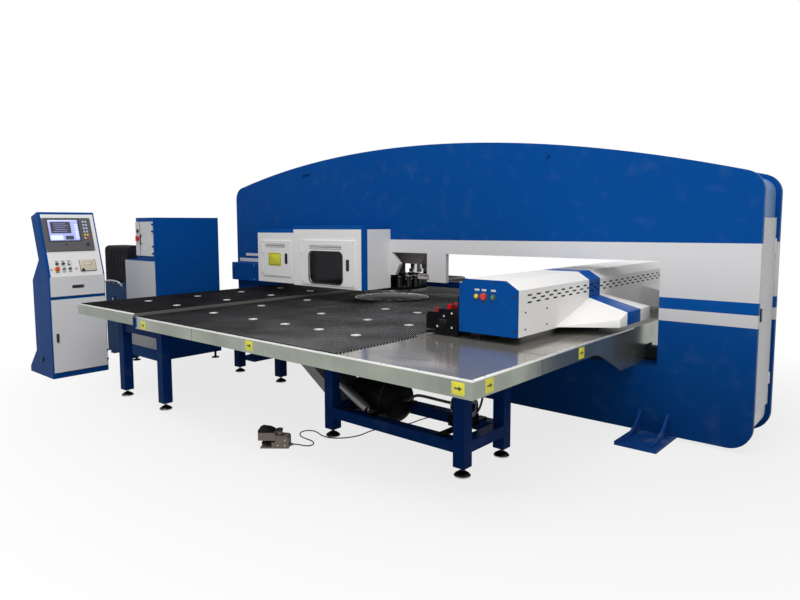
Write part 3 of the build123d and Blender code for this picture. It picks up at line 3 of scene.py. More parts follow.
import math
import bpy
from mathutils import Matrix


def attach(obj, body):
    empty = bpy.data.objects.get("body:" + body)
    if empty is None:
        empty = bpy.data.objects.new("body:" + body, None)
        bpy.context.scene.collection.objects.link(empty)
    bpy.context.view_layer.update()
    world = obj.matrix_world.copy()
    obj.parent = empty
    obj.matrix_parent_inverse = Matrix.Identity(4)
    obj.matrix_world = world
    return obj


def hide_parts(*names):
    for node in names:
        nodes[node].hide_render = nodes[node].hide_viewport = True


bl_info = {
    "name": "Turret Punch Press",
    "version": (1, 0, 0),
    "blender": (4, 5, 0),
    "location": "View3D > Sidebar > Punch Press",
    "description": "Adds the paint, trim, controls and stage of a turret punch press to its packed frame",
    "category": "Object",
}

import bpy
from bpy.props import FloatProperty, FloatVectorProperty, PointerProperty
from bpy.types import Operator, Panel, PropertyGroup
from mathutils import Euler, Matrix, Vector

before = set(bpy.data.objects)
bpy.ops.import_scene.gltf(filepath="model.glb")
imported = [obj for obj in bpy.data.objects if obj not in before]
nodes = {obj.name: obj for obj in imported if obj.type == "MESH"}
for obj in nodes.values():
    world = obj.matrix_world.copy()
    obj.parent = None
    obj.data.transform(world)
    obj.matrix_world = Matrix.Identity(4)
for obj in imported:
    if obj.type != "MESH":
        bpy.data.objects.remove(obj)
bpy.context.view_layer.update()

MM = 0.001


# Sizes of the machine that the trim is set out from, in millimetres

FRAME_FACE = -313.0
TABLE_TOP = 838.0
LEFT_TABLE_TOP = 866.0
BED_THICKNESS = 6.0
TABLE_FRONT = 2590.0
TABLE_RIGHT = 2190.0
LEFT_TABLE_FRONT = 2600.0
LEFT_TABLE_END = -2560.0
TABLE_JOINT = (-1400.0, -1394.0)
BEAM_SLOT = 345.0
STRIP_THICKNESS = 2.5
STRIP_REACH = 18.0
LIP = 1.5
LIP_DROP = 7.0
SCREW_INSET = 9.0
LABEL_THICKNESS = 0.7
DOOR_DEPTH = 12.0
MAIN_DOOR_FACE = -740.0 - DOOR_DEPTH
SMALL_DOOR_FACE = -700.0 - DOOR_DEPTH
TURRET_X = -600.0
TURRET_RIM = 409.0
STATION_CIRCLE = 345.0
STATIONS = 20
BOLT_CIRCLE = 215.0
BEAM_END = -1610.0
COVER_RIGHT = 1885.0
CLAMP_ROWS = (-1480, -1135, -795)
CONSOLE_FRONT = -3140.0
CONSOLE_FOLD = 1111.0
CONSOLE_SLOPE = math.atan2(223.0, 691.0)
SLOPE_ALONG = (-math.sin(CONSOLE_SLOPE), math.cos(CONSOLE_SLOPE))
SLOPE_NORMAL = (math.cos(CONSOLE_SLOPE), math.sin(CONSOLE_SLOPE))
SLOPE_OUT = (SLOPE_NORMAL[0], 0, SLOPE_NORMAL[1])
CABINET_DOOR_FACE = -1658.0
PUMP_CENTRE = (-3807.5, -1070.0)
PEDAL_PLACE = (312.2, -2388.4, 0.0)
PEDAL_TURN = math.radians(40.5)

# The camera that the photo was taken with: its place in metres and its turns

CAMERA_PLACE = (3.990, -5.303, 1.650)
CAMERA_YAW, CAMERA_PITCH, CAMERA_ROLL = (math.radians(turn) for turn in (41.975, 5.299, -0.289))
CAMERA_LENS = 28.5696
CAMERA_SHIFT = (0.02523, -0.02085)


def console_point(slope, y, lift=0.0):
    """A point on the sloping face of the console: up the slope, across it and off the face."""
    x = CONSOLE_FRONT + SLOPE_ALONG[0] * slope + SLOPE_NORMAL[0] * lift
    z = CONSOLE_FOLD + SLOPE_ALONG[1] * slope + SLOPE_NORMAL[1] * lift
    return (x, y, z)


# Modelling helpers

TURNS = {"x": (0, math.pi / 2, 0), "-x": (0, -math.pi / 2, 0), "y": (-math.pi / 2, 0, 0),
         "-y": (math.pi / 2, 0, 0), "z": (0, 0, 0), "slope": (0, math.pi / 2 - CONSOLE_SLOPE, 0)}
FACINGS = {"-y": ((1, 0, 0), (0, 0, 1)), "y": ((-1, 0, 0), (0, 0, 1)), "x": ((0, 1, 0), (0, 0, 1)),
           "slope": ((0, 1, 0), (SLOPE_ALONG[0], 0, SLOPE_ALONG[1]))}


def metres(point):
    return [v * MM for v in point]


def only(piece):
    """Makes one piece the selected and active one."""
    bpy.ops.object.select_all(action="DESELECT")
    piece.select_set(True)
    bpy.context.view_layer.objects.active = piece


def apply_place(piece):
    only(piece)
    bpy.ops.object.transform_apply(location=True, rotation=True, scale=True)


def edit(piece):
    """Opens a piece in edit mode with all of it selected."""
    only(piece)
    bpy.ops.object.mode_set(mode="EDIT")
    bpy.ops.mesh.select_all(action="SELECT")


def close():
    bpy.ops.object.mode_set(mode="OBJECT")


def modify(piece, kind, **values):
    """Adds a modifier with its values and applies it."""
    only(piece)
    bpy.ops.object.modifier_add(type=kind)
    modifier = piece.modifiers[-1]
    for key, value in values.items():
        setattr(modifier, key, value)
    bpy.ops.object.modifier_apply(modifier=modifier.name)


def soften(piece, width, segments=2, angle=30.0):
    """Rounds the edges of a piece that are sharper than an angle."""
    modify(piece, "BEVEL", width=width * MM, segments=segments, limit_method="ANGLE",
           angle_limit=math.radians(angle))
    bpy.ops.object.shade_smooth_by_angle(angle=math.radians(40))


def box(low, high, edge=1.5, segments=2):
    """A box between two corners, in millimetres, with rounded edges."""
    bpy.ops.mesh.primitive_cube_add(size=1.0, location=metres((a + b) / 2 for a, b in zip(low, high)))
    piece = bpy.context.object
    piece.scale = metres(abs(b - a) for a, b in zip(low, high))
    apply_place(piece)
    if edge:
        soften(piece, edge, segments)
    return piece


def cylinder(centre, radius, depth, axis, sides, ends="NGON"):
    """A cylinder whose base sits at centre and that rises along the axis."""
    turn = Euler(TURNS[axis])
    middle = Vector(centre) + turn.to_matrix() @ Vector((0, 0, depth / 2))
    bpy.ops.mesh.primitive_cylinder_add(vertices=sides, radius=radius * MM, depth=depth * MM,
                                        end_fill_type=ends, location=middle * MM, rotation=turn)
    piece = bpy.context.object
    apply_place(piece)
    return piece


def disc(centre, radius, depth, axis="z", edge=1.0, sides=32, segments=2):
    """A cylinder with rounded rims."""
    piece = cylinder(centre, radius, depth, axis, sides)
    soften(piece, edge, segments, 50.0)
    return piece


def ring(centre, outer, inner, depth, axis="z", sides=48):
    """A flat collar whose base sits at centre and that rises along the axis."""
    piece = cylinder(centre, outer, depth, axis, sides, "NOTHING")
    modify(piece, "SOLIDIFY", thickness=(outer - inner) * MM, offset=-1.0)
    soften(piece, min(0.6, (outer - inner) * 0.25), 1, 60.0)
    return piece


def facing_turn(right, ahead):
    """The turn that lays a flat shape's own axes along two directions."""
    right, ahead = Vector(right), Vector(ahead)
    return Matrix((right, ahead, right.cross(ahead))).transposed().to_euler()


def thicken(piece, thickness, edge):
    """Gives a flat shape its thickness, outwards, and softens its edges."""
    modify(piece, "SOLIDIFY", thickness=thickness * MM, offset=1.0)
    if edge:
        soften(piece, edge)
    return piece


def plate(centre, width, height, facing, thickness, corner=0.0, band=None, edge=0.4):
    """A thin plate on a surface, with round corners, or with a band width only its outer band."""
    bpy.ops.mesh.primitive_plane_add(size=1.0, location=metres(centre),
                                     rotation=facing_turn(*FACINGS[facing]))
    piece = bpy.context.object
    piece.scale = (width * MM, height * MM, 1.0)
    apply_place(piece)
    edit(piece)
    if corner:
        bpy.ops.mesh.bevel(offset=corner * MM, segments=6, affect="VERTICES")
    if band:
        bpy.ops.mesh.select_all(action="SELECT")
        bpy.ops.mesh.inset(thickness=band * MM, use_even_offset=True)
        bpy.ops.mesh.delete(type="FACE")
    close()
    return thicken(piece, thickness, edge)


def arrow(centre, length, facing):
    """The shaft and the head of a plain arrow that points to the right on a surface."""
    right, up = (Vector(v) for v in FACINGS[facing])
    middle = Vector(centre)
    shaft = plate(middle - right * length * 0.2, length * 0.5, length * 0.17, facing, 0.3, edge=0)
    bpy.ops.mesh.primitive_circle_add(vertices=3, radius=length * 0.3 * MM, fill_type="NGON",
                                      location=(middle + right * length * 0.2) * MM,
                                      rotation=facing_turn(-up, right))
    head = bpy.context.object
    apply_place(head)
    return [shaft, thicken(head, 0.3, 0)]


def sink(piece, normal, inset, depth):
    """Insets the largest face that looks along a normal and pushes it in."""
    aim = Vector(normal).normalized()
    mesh = piece.data
    largest = max((f for f in mesh.polygons if f.normal.dot(aim) > 0.99), key=lambda f: f.area).index
    only(piece)
    bpy.context.tool_settings.mesh_select_mode = (False, False, True)
    for group in (mesh.vertices, mesh.edges, mesh.polygons):
        for part in group:
            part.select = False
    mesh.polygons[largest].select = True
    bpy.ops.object.mode_set(mode="EDIT")
    bpy.ops.mesh.inset(thickness=inset * MM, use_even_offset=True)
    bpy.ops.mesh.extrude_region_move(TRANSFORM_OT_translate={"value": aim * (-depth * MM)})
    close()


def join(pieces):
    """Joins pieces into the first one."""
    only(pieces[0])
    for piece in pieces:
        piece.select_set(True)
    if len(pieces) > 1:
        bpy.ops.object.join()
    return bpy.context.object


def copy_each(piece, values, move):
    """Copies a piece for each value, moves each copy by its value and joins the copies."""
    made = []
    for value in values:
        only(piece)
        bpy.ops.object.duplicate(linked=False)
        made.append(bpy.context.object)
        move(value)
    bpy.data.objects.remove(piece)
    whole = join(made)
    apply_place(whole)
    return whole


def repeat(piece, places):
    """Copies a piece, modelled at the origin, to each place, and joins the copies into one piece."""
    return copy_each(piece, places, lambda place: bpy.ops.transform.translate(value=metres(place)))


def ring_of(piece, centre, start, count):
    """Copies a piece, once it is at its start, round an upright axis, and joins the copies."""
    only(piece)
    bpy.ops.transform.translate(value=metres(start))
    return copy_each(piece, range(count), lambda index: bpy.ops.transform.rotate(
        value=2 * math.pi * index / count, orient_axis="Z", center_override=(*metres(centre), 0)))


def nurbs_tube(name, points, radius, steps, sides):
    """A smooth tube round control points, as a curve object."""
    curve = bpy.data.curves.new(name, "CURVE")
    curve.dimensions = "3D"
    line = curve.splines.new("NURBS")
    line.points.add(len(points) - 1)
    for point, place in zip(line.points, points):
        point.co = (*metres(place), 1.0)
    line.order_u = 3
    line.use_endpoint_u = True
    line.resolution_u = steps
    curve.bevel_depth = radius * MM
    curve.bevel_resolution = sides
    curve.use_fill_caps = True
    tube = bpy.data.objects.new(name, curve)
    bpy.context.scene.collection.objects.link(tube)
    return tube


def pipe(points, radius):
    """A rigid pipe through control points, as a mesh."""
    only(nurbs_tube("pipe", points, radius, 6, 5))
    bpy.ops.object.convert(target="MESH")
    bpy.ops.object.shade_smooth_by_angle(angle=math.radians(50))
    return bpy.context.object


def settle(piece, name, body, finish_name):
    """Names a finished piece, or joined pieces, paints it and lets it ride on its body."""
    if isinstance(piece, list):
        piece = join(piece)
    piece.name = name
    piece.data.name = name
    piece.data.materials.clear()
    piece.data.materials.append(finish(finish_name))
    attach(piece, body)
    return piece


def screw_head(radius=7.0, height=4.0, axis="-y", sides=16):
    """A socket screw head at the origin, its socket towards the axis."""
    piece = disc((0, 0, 0), radius, height, axis, edge=0.8, sides=sides)
    aims = {"x": (1, 0, 0), "y": (0, 1, 0), "-y": (0, -1, 0), "z": (0, 0, 1)}
    sink(piece, aims[axis], radius * 0.42, height * 0.55)
    return piece


def add_screws(name, body, places, radius, height=3.0):
    """Bright screw heads at each place, looking to the front."""
    settle(repeat(screw_head(radius, height), places), name, body, "bright steel")


# Finishes, with each colour as it shows on a display, in eight-bit steps

BLUE = (8, 74, 148)
DEEP_BLUE = (6, 58, 122)
STRIPE_BLUE = (10, 82, 160)
WHITE = (238, 237, 236)
COVER_WHITE = (246, 244, 240)
BAND_WHITE = (216, 216, 218)
CLAMP_RED = (190, 22, 26)

# Dust as a scene colour, and the rise of staggered rows over their pitch

DUST_GREY = (0.45, 0.45, 0.45, 1.0)
ROW_RATIO = 0.866


def linear(colour):
    """A display colour as a scene colour."""
    out = []
    for value in colour:
        v = value / 255.0
        out.append(v / 12.92 if v <= 0.04045 else ((v + 0.055) / 1.055) ** 2.4)
    return (*out, 1.0)


def add(tree, kind, **values):
    """Adds a node and sets its properties, or its sockets by name."""
    node = tree.nodes.new(kind)
    for key, value in values.items():
        if hasattr(node, key):
            setattr(node, key, value)
        else:
            node.inputs[key.replace("_", " ")].default_value = value
    return node


def feed(tree, value, socket):
    """Sets a socket to a value, or links it to another socket."""
    if isinstance(value, (int, float, tuple, list)):
        socket.default_value = value
    else:
        tree.links.new(value, socket)


def blank_finish(name, **sockets):
    """A new material and its shader, with fixed values set on the shader's own sockets."""
    material = bpy.data.materials.new(name)
    material.use_nodes = True
    tree = material.node_tree
    shader = tree.nodes["Principled BSDF"]
    for key, value in sockets.items():
        shader.inputs[key.replace("_", " ")].default_value = value
    place = add(tree, "ShaderNodeTexCoord").outputs["Object"]
    return material, tree, shader, place


def split_axes(tree, place):
    """The X, Y and Z of a place."""
    node = add(tree, "ShaderNodeSeparateXYZ")
    tree.links.new(place, node.inputs["Vector"])
    return node.outputs


def scaled(tree, place, scale):
    node = add(tree, "ShaderNodeMapping")
    node.inputs["Scale"].default_value = scale
    tree.links.new(place, node.inputs["Vector"])
    return node.outputs["Vector"]


def noise(tree, place, scale, detail=3.0):
    node = add(tree, "ShaderNodeTexNoise", Scale=scale, Detail=detail)
    tree.links.new(place, node.inputs["Vector"])
    return node.outputs["Fac"]


def spread(tree, value, low, high, start=0.3, end=0.7):
    """Maps a grey value to a range."""
    node = add(tree, "ShaderNodeMapRange", From_Min=start, From_Max=end, To_Min=low, To_Max=high)
    tree.links.new(value, node.inputs["Value"])
    return node.outputs["Result"]


def math_node(tree, operation, first, second=None):
    node = add(tree, "ShaderNodeMath", operation=operation)
    feed(tree, first, node.inputs[0])
    if second is not None:
        feed(tree, second, node.inputs[1])
    return node.outputs["Value"]


def blend_colours(tree, factor, first, second):
    """Mixes two colours, each a socket or a colour."""
    node = add(tree, "ShaderNodeMix", data_type="RGBA")
    feed(tree, factor, node.inputs[0])
    sockets = [s for s in node.inputs if s.type == "RGBA"]
    feed(tree, first, sockets[0])
    feed(tree, second, sockets[1])
    return [s for s in node.outputs if s.type == "RGBA"][0]


def darkened(tree, colour, value):
    """A colour with its brightness scaled by a value."""
    node = add(tree, "ShaderNodeHueSaturation")
    feed(tree, value, node.inputs["Value"])
    feed(tree, colour, node.inputs["Color"])
    return node.outputs["Color"]


def zone(tree, place, sides):
    """One inside a convex zone, zero outside. Each side is (nx, ny, nz, d), kept where n . p > d."""
    inside = None
    for nx, ny, nz, limit in sides:
        dot = add(tree, "ShaderNodeVectorMath", operation="DOT_PRODUCT")
        tree.links.new(place, dot.inputs[0])
        dot.inputs[1].default_value = (nx, ny, nz)
        step = math_node(tree, "GREATER_THAN", dot.outputs["Value"], limit)
        inside = step if inside is None else math_node(tree, "MULTIPLY", inside, step)
    return inside


def zoned(tree, place, colour, zones):
    """A colour with other colours painted over its zones."""
    base = linear(colour)
    for sides, band in zones:
        base = blend_colours(tree, zone(tree, place, sides), base, linear(band))
    return base


def span(axis, low=None, high=None):
    """The sides of a zone between two values along an axis."""
    unit = {"x": (1, 0, 0), "y": (0, 1, 0), "z": (0, 0, 1)}[axis]
    sides = []
    if low is not None:
        sides.append((*unit, low * MM))
    if high is not None:
        sides.append((-unit[0], -unit[1], -unit[2], -high * MM))
    return sides


def bump(tree, shader, height, strength, distance=0.001):
    node = add(tree, "ShaderNodeBump", Strength=strength, Distance=distance)
    tree.links.new(height, node.inputs["Height"])
    tree.links.new(node.outputs["Normal"], shader.inputs["Normal"])


def enamel(name, colour, roughness=0.36, zones=(), dust=0.04, peel=0.02, low=1.0):
    """Sprayed machine enamel: soft cloudiness, thin dust, a fine orange peel and bands of colour.

    low is how bright the paint is near the floor: painted shade that darkens it towards the floor.
    """
    material, tree, shader, place = blank_finish(name, Coat_Weight=0.01, Coat_Roughness=0.2,
                                                 Specular_IOR_Level=0.02)
    base = zoned(tree, place, colour, zones)
    # Painted shade: the colour is scaled from low at 0.1 m up to full brightness at 1.4 m.
    if low < 1.0:
        height = split_axes(tree, place)["Z"]
        base = darkened(tree, base, spread(tree, height, low, 1.0, 0.1, 1.4))
    cloud = noise(tree, place, 0.9, 3.0)
    mixed = blend_colours(tree, spread(tree, cloud, 0.0, 0.5), base, darkened(tree, base, 0.92))
    film = noise(tree, place, 7.0, 5.0)
    dusty = blend_colours(tree, spread(tree, film, 0.0, dust, 0.55, 0.85), mixed, DUST_GREY)
    tree.links.new(dusty, shader.inputs["Base Color"])
    tree.links.new(spread(tree, cloud, roughness - 0.04, roughness + 0.07), shader.inputs["Roughness"])
    bump(tree, shader, noise(tree, place, 260.0, 2.0), peel)
    return material


def steel(name, colour, roughness=0.28, grain=(3.0, 160.0, 160.0), stains=0.25, metallic=1.0, zones=(),
          ripple=0.0):
    """Rolled or brushed steel: grain lines, faint stains, uneven gloss and the waves of thin sheet."""
    material, tree, shader, place = blank_finish(name, Metallic=metallic)
    base = zoned(tree, place, colour, zones)
    cloud = noise(tree, place, 2.6, 5.0)
    mixed = blend_colours(tree, spread(tree, cloud, 0.0, 1.0), base, darkened(tree, base, 1.0 - stains))
    tree.links.new(mixed, shader.inputs["Base Color"])
    lines = noise(tree, scaled(tree, place, grain), 1.0, 4.0)
    rough = math_node(tree, "ADD", spread(tree, lines, roughness - 0.05, roughness + 0.06),
                      spread(tree, cloud, -0.04, 0.08))
    tree.links.new(rough, shader.inputs["Roughness"])
    waves = math_node(tree, "MULTIPLY", noise(tree, place, 2.2, 2.0), 60.0 * ripple)
    bump(tree, shader, math_node(tree, "ADD", lines, waves), 0.03)
    return material


def plastic(name, colour, roughness=0.4, texture=0.05, coat=0.0, glow=0.0):
    """Moulded plastic with a fine spark texture."""
    material, tree, shader, place = blank_finish(name, Coat_Weight=coat, Coat_Roughness=0.08)
    base = linear(colour)
    cloud = noise(tree, place, 30.0, 3.0)
    worn = tuple(min(1.0, c * 1.25 + 0.01) for c in base[:3]) + (1.0,)
    mixed = blend_colours(tree, spread(tree, cloud, 0.0, 0.35), base, worn)
    tree.links.new(mixed, shader.inputs["Base Color"])
    tree.links.new(spread(tree, cloud, roughness - 0.04, roughness + 0.06), shader.inputs["Roughness"])
    bump(tree, shader, noise(tree, place, 900.0, 2.0), texture)
    if glow:
        tree.links.new(mixed, shader.inputs["Emission Color"])
        shader.inputs["Emission Strength"].default_value = glow
    return material


def brush_field(name, colour, tuft, pitch, radius):
    """Brush bed: a black board with staggered rows of pale bristle tufts, more worn to the right."""
    material, tree, shader, place = blank_finish(name, Specular_IOR_Level=0.02)

    def calc(operation, first, second=None):
        return math_node(tree, operation, first, second)

    board = linear(colour)
    axes = split_axes(tree, place)
    row = calc("DIVIDE", axes["Y"], pitch * ROW_RATIO)
    shift = calc("MULTIPLY", calc("FLOORED_MODULO", calc("FLOOR", row), 2.0), 0.5)
    column = calc("ADD", calc("DIVIDE", axes["X"], pitch), shift)
    u = calc("SUBTRACT", calc("FRACT", column), 0.5)
    v = calc("MULTIPLY", calc("SUBTRACT", calc("FRACT", row), 0.5), ROW_RATIO)
    away = calc("SQRT", calc("ADD", calc("MULTIPLY", u, u), calc("MULTIPLY", v, v)))
    dot = spread(tree, away, 1.0, 0.0, radius / pitch - 0.05, radius / pitch + 0.05)
    bristle = noise(tree, place, 1400.0, 2.0)
    wear = calc("MULTIPLY", spread(tree, axes["X"], 0.1, 1.0, -1.5, 0.7),
                spread(tree, noise(tree, place, 2.2, 3.0), 0.35, 1.0))
    worn = blend_colours(tree, wear, board, linear(tuft))
    tip = blend_colours(tree, spread(tree, bristle, 0.6, 1.0), board, worn)
    tree.links.new(blend_colours(tree, dot, board, tip), shader.inputs["Base Color"])
    tree.links.new(spread(tree, noise(tree, place, 4.0, 3.0), 0.7, 0.9), shader.inputs["Roughness"])
    bump(tree, shader, calc("ADD", dot, calc("MULTIPLY", bristle, 0.2)), 0.5, 0.004)
    return material


def clear_pane(name, colour, pale):
    """Smoked clear plastic."""
    material, tree, shader, place = blank_finish(name, Transmission_Weight=0.3, IOR=1.45,
                                                 Specular_IOR_Level=0.05)
    cloud = noise(tree, place, 5.0, 3.0)
    tree.links.new(blend_colours(tree, cloud, linear(colour), linear(pale)), shader.inputs["Base Color"])
    tree.links.new(spread(tree, cloud, 0.05, 0.12), shader.inputs["Roughness"])
    return material


def frame_bands():
    """Bands of the O-frame: white over the window, down the legs and on the columns."""
    plates = [(0, -1, 0, -0.330), (0, 1, 0, -0.330)]
    front = span("y", None, -300)
    return [
        (span("x", -1900) + [(0.0036, 0, -1, -1.4945)] + span("z", 1361) + plates, BAND_WHITE),
        (span("x", -525, 370) + span("z", 1000, 1363) + plates, BAND_WHITE),
        (span("x", 2359) + span("z", 1091, 1365) + plates, BAND_WHITE),
        (span("x", 2359) + span("z", 1005, 1091) + plates, STRIPE_BLUE),
        (span("x", 2359) + span("z", 913, 1005) + plates, BAND_WHITE),
        (span("x", -2843, -2070) + front + span("z", 1256, 1290), BAND_WHITE),
        (span("x", -2977, -2070) + front + span("z", 1180, 1225), BAND_WHITE),
    ]


def console_zones():
    """White over the console's sloping face and round the fold below it."""
    fold = CONSOLE_FRONT * MM * SLOPE_NORMAL[0] + CONSOLE_FOLD * MM * SLOPE_NORMAL[1]
    across = span("y", -2627, -2065)
    return [([(*SLOPE_OUT, fold - 0.0004)] + across + span("z", 1113, 1777), WHITE),
            (span("x", CONSOLE_FRONT - 2) + across + span("z", 1103, 1115), WHITE)]


# Where an enamel is given low, it darkens towards the floor as painted shade.
FINISHES = {
    "frame enamel": (enamel, BLUE, dict(zones=frame_bands(), low=0.5)),
    "blue enamel": (enamel, BLUE, {}),
    "deep blue enamel": (enamel, DEEP_BLUE, dict(roughness=0.38, low=0.6)),
    "stand enamel": (enamel, (3, 46, 104), dict(roughness=0.4, low=0.7)),
    "foot enamel": (enamel, (20, 62, 124), dict(roughness=0.42, dust=0.2)),
    "white enamel": (enamel, WHITE, dict(roughness=0.34, dust=0.02)),
    "cover enamel": (enamel, COVER_WHITE, dict(roughness=0.34, dust=0.02, zones=[
        (span("x", 1480) + span("y", -497, -286), STRIPE_BLUE)])),
    "skirt enamel": (enamel, COVER_WHITE, dict(roughness=0.34, dust=0.02, zones=[
        ([(0.452, 1, 0, 0.3671), (-0.2712, -1, 0, -0.2253)] + span("y", None, -180), STRIPE_BLUE)])),
    "guard enamel": (enamel, WHITE, dict(roughness=0.34, dust=0.02, zones=[
        (span("x", -1387) + span("z", 1601), STRIPE_BLUE),
        (span("x", None, -1387) + span("z", 1562), STRIPE_BLUE),
        ([(0.983, -0.183, 0, -0.2195)], STRIPE_BLUE)])),
    "edge cover enamel": (enamel, (116, 150, 196), dict(roughness=0.30, zones=[
        (span("z", None, 300), WHITE)])),
    "band enamel": (enamel, BAND_WHITE, dict(roughness=0.34, dust=0.02)),
    "cabinet enamel": (enamel, BLUE, dict(roughness=0.34, low=0.7, dust=0.01, zones=[
        (span("y", None, -1640.5) + span("z", 210, 1240), (205, 206, 210))])),
    "tank enamel": (enamel, (16, 66, 112), dict(roughness=0.32)),
    "console enamel": (enamel, BLUE, dict(roughness=0.34, low=0.75, zones=console_zones())),
    "clamp enamel": (enamel, (20, 20, 23), dict(roughness=0.34, zones=[
        (span("z", 1037.5), CLAMP_RED), (span("x", None, 1224) + span("z", 1007.5), CLAMP_RED)])),
    "warm grey enamel": (enamel, (168, 160, 158), dict(roughness=0.4, dust=0.02)),
    "dark enamel": (enamel, (38, 40, 46), dict(roughness=0.4, dust=0.1)),
    "black enamel": (enamel, (26, 26, 29), dict(dust=0.08)),
    "turret enamel": (enamel, (15, 15, 18), dict(roughness=0.4, dust=0.02)),
    "casting enamel": (enamel, (52, 54, 60), dict(roughness=0.55, dust=0.2, peel=0.3)),
    "cooler enamel": (enamel, (40, 40, 46), dict(roughness=0.5, dust=0.08)),
    "pedal enamel": (enamel, (122, 114, 106), dict(roughness=0.5, dust=0.08, peel=0.12, zones=[
        (span("z", 119), (30, 30, 32))])),
    # The aprons below the table tops take a darker, greener grey than the tops: painted shade and dim
    # reflection on the sides.
    "table steel": (steel, (206, 202, 194), dict(
        roughness=0.15, stains=0.35, metallic=0.72, ripple=0.25, zones=[
            (span("z", None, TABLE_TOP - 1), (160, 166, 154))])),
    "left table steel": (steel, (200, 198, 192), dict(stains=0.3, metallic=0.6, zones=[
        (span("z", None, LEFT_TABLE_TOP - 1), (146, 152, 143))])),
    "edge steel": (steel, (236, 235, 231), dict(roughness=0.32, stains=0.06, metallic=0.6)),
    "bright steel": (steel, (196, 196, 198), dict(roughness=0.2, grain=(40.0, 40.0, 40.0), stains=0.1)),
    "tool steel": (steel, (120, 120, 124), dict(roughness=0.3, grain=(60.0, 60.0, 60.0), stains=0.2)),
    "dark steel": (steel, (62, 62, 66), dict(roughness=0.34, grain=(60.0, 60.0, 60.0), stains=0.2)),
    "shoe steel": (steel, (52, 52, 54), dict(roughness=0.2, grain=(60.0, 60.0, 60.0), stains=0.2)),
    "zinc sheet": (steel, (104, 106, 108), dict(roughness=0.38, grain=(12.0, 12.0, 12.0))),
    "brush field": (brush_field, (7, 7, 9), dict(tuft=(226, 224, 226), pitch=0.0185, radius=0.0042)),
    "clear pane": (clear_pane, (12, 10, 14), dict(pale=(30, 28, 36))),
    "black plastic": (plastic, (24, 24, 26), dict(roughness=0.42)),
    "grey plastic": (plastic, (74, 74, 78), dict(roughness=0.5)),
    "key plastic": (plastic, (176, 190, 206), dict(roughness=0.42)),
    "beige plastic": (plastic, (206, 196, 176), dict(roughness=0.46)),
    "pale plastic": (plastic, (200, 202, 204), {}),
    "red plastic": (plastic, (196, 24, 28), dict(roughness=0.3, coat=0.4)),
    "green plastic": (plastic, (26, 118, 70), dict(roughness=0.3, coat=0.4)),
    "yellow plastic": (plastic, (228, 184, 48), dict(roughness=0.3, coat=0.4)),
    "yellow label": (plastic, (222, 216, 62), dict(roughness=0.5, texture=0.01)),
    "label ink": (plastic, (30, 30, 46), dict(roughness=0.5, texture=0.01)),
    "rubber": (plastic, (22, 22, 23), dict(roughness=0.62, texture=0.2)),
    "cable sheath": (plastic, (40, 40, 42), dict(roughness=0.5, texture=0.1)),
    "screen glow": (plastic, (150, 160, 226), dict(roughness=0.2, texture=0.0, coat=0.6, glow=0.55)),
    "screen dark": (plastic, (34, 34, 48), dict(roughness=0.2, texture=0.0, coat=0.6, glow=0.3)),
    "screen pale": (plastic, (196, 206, 244), dict(roughness=0.2, texture=0.0, coat=0.6, glow=0.6)),
}

FINISHED_NODES = {
    "frame enamel": "o_frame", "foot enamel": "anchor_feet", "edge cover enamel": "frame_covers",
    "band enamel": "frame_end_door console_drawer console_door cabinet_door",
    "blue enamel": "turret_drive_housing beam_caps", "stand enamel": "table_stands",
    "turret enamel": "upper_turret lower_turret air_receiver", "tool steel": "die_tools",
    "dark steel": "punch_tools turret_carriers punch_cylinder clamp_jaw_1 clamp_jaw_2 clamp_jaw_3",
    "bright steel": "punch_ram ground_rails", "warm grey enamel": "punch_hood",
    "guard enamel": "turret_guard", "white enamel": "guard_main_door guard_small_door",
    "clear pane": "guard_window", "left table steel": "table_left", "table steel": "table_main",
    "brush field": "table_centre brush_beds", "shoe steel": "levelling_feet", "zinc sheet": "scrap_chute",
    "dark enamel": "beam_drive beam", "casting enamel": "saddle", "cover enamel": "beam_cover",
    "skirt enamel": "saddle_skirts", "black enamel": "clamp_carriage pedal_treadle",
    "clamp enamel": "clamp_bodies", "console enamel": "console_body", "grey plastic": "console_panel",
    "cabinet enamel": "control_cabinet", "tank enamel": "hydraulic_tank", "cooler enamel": "oil_cooler",
    "pedal enamel": "pedal_base", "cable sheath": "pedal_cable", "yellow plastic": "beam_stop_button",
    "red plastic": "beam_emergency_stop console_emergency_stop cabinet_isolator",
    "green plastic": "beam_start_button console_start_button",
    "black plastic": "frame_end_latch guard_main_latch guard_small_latch console_selector console_latch "
                     "cable_gland",
}


def finish(name):
    """Returns a finish, made when it is first asked for."""
    if name in bpy.data.materials:
        return bpy.data.materials[name]
    make, colour, options = FINISHES[name]
    return make(name, colour, **options)


class PressSettings(PropertyGroup):
    """Sizes and light levels that a user may want to change."""

    screw_radius: FloatProperty(name="Screw head radius", default=7.0, min=2.0, max=20.0,
                                description="Radius of the cover screw heads in mm")
    disc_radius: FloatProperty(name="Ball plate radius", description="Radius of the ball plates in mm",
                               default=39.0, min=10.0, max=80.0)
    key_light: FloatProperty(name="Key light", description="Power of the overhead lamp in watts",
                             default=470.0, min=0.0, subtype="POWER")
    fill_light: FloatProperty(name="Fill light", description="Power of the front lamp in watts",
                              default=130.0, min=0.0, subtype="POWER")
    back_light: FloatProperty(name="Back light", default=240.0, min=0.0, subtype="POWER",
                              description="Power of the lamp behind the machine in watts")
    world_level: FloatProperty(name="World level", description="Strength of the even light from all sides",
                               default=0.40, min=0.0, max=3.0)
    floor_colour: FloatVectorProperty(name="Floor colour", description="Colour of the plain floor",
                                      subtype="COLOR", size=4, min=0.0, max=1.0,
                                      default=(0.5, 0.5, 0.5, 1.0))


def settings():
    return bpy.context.scene.punch_press


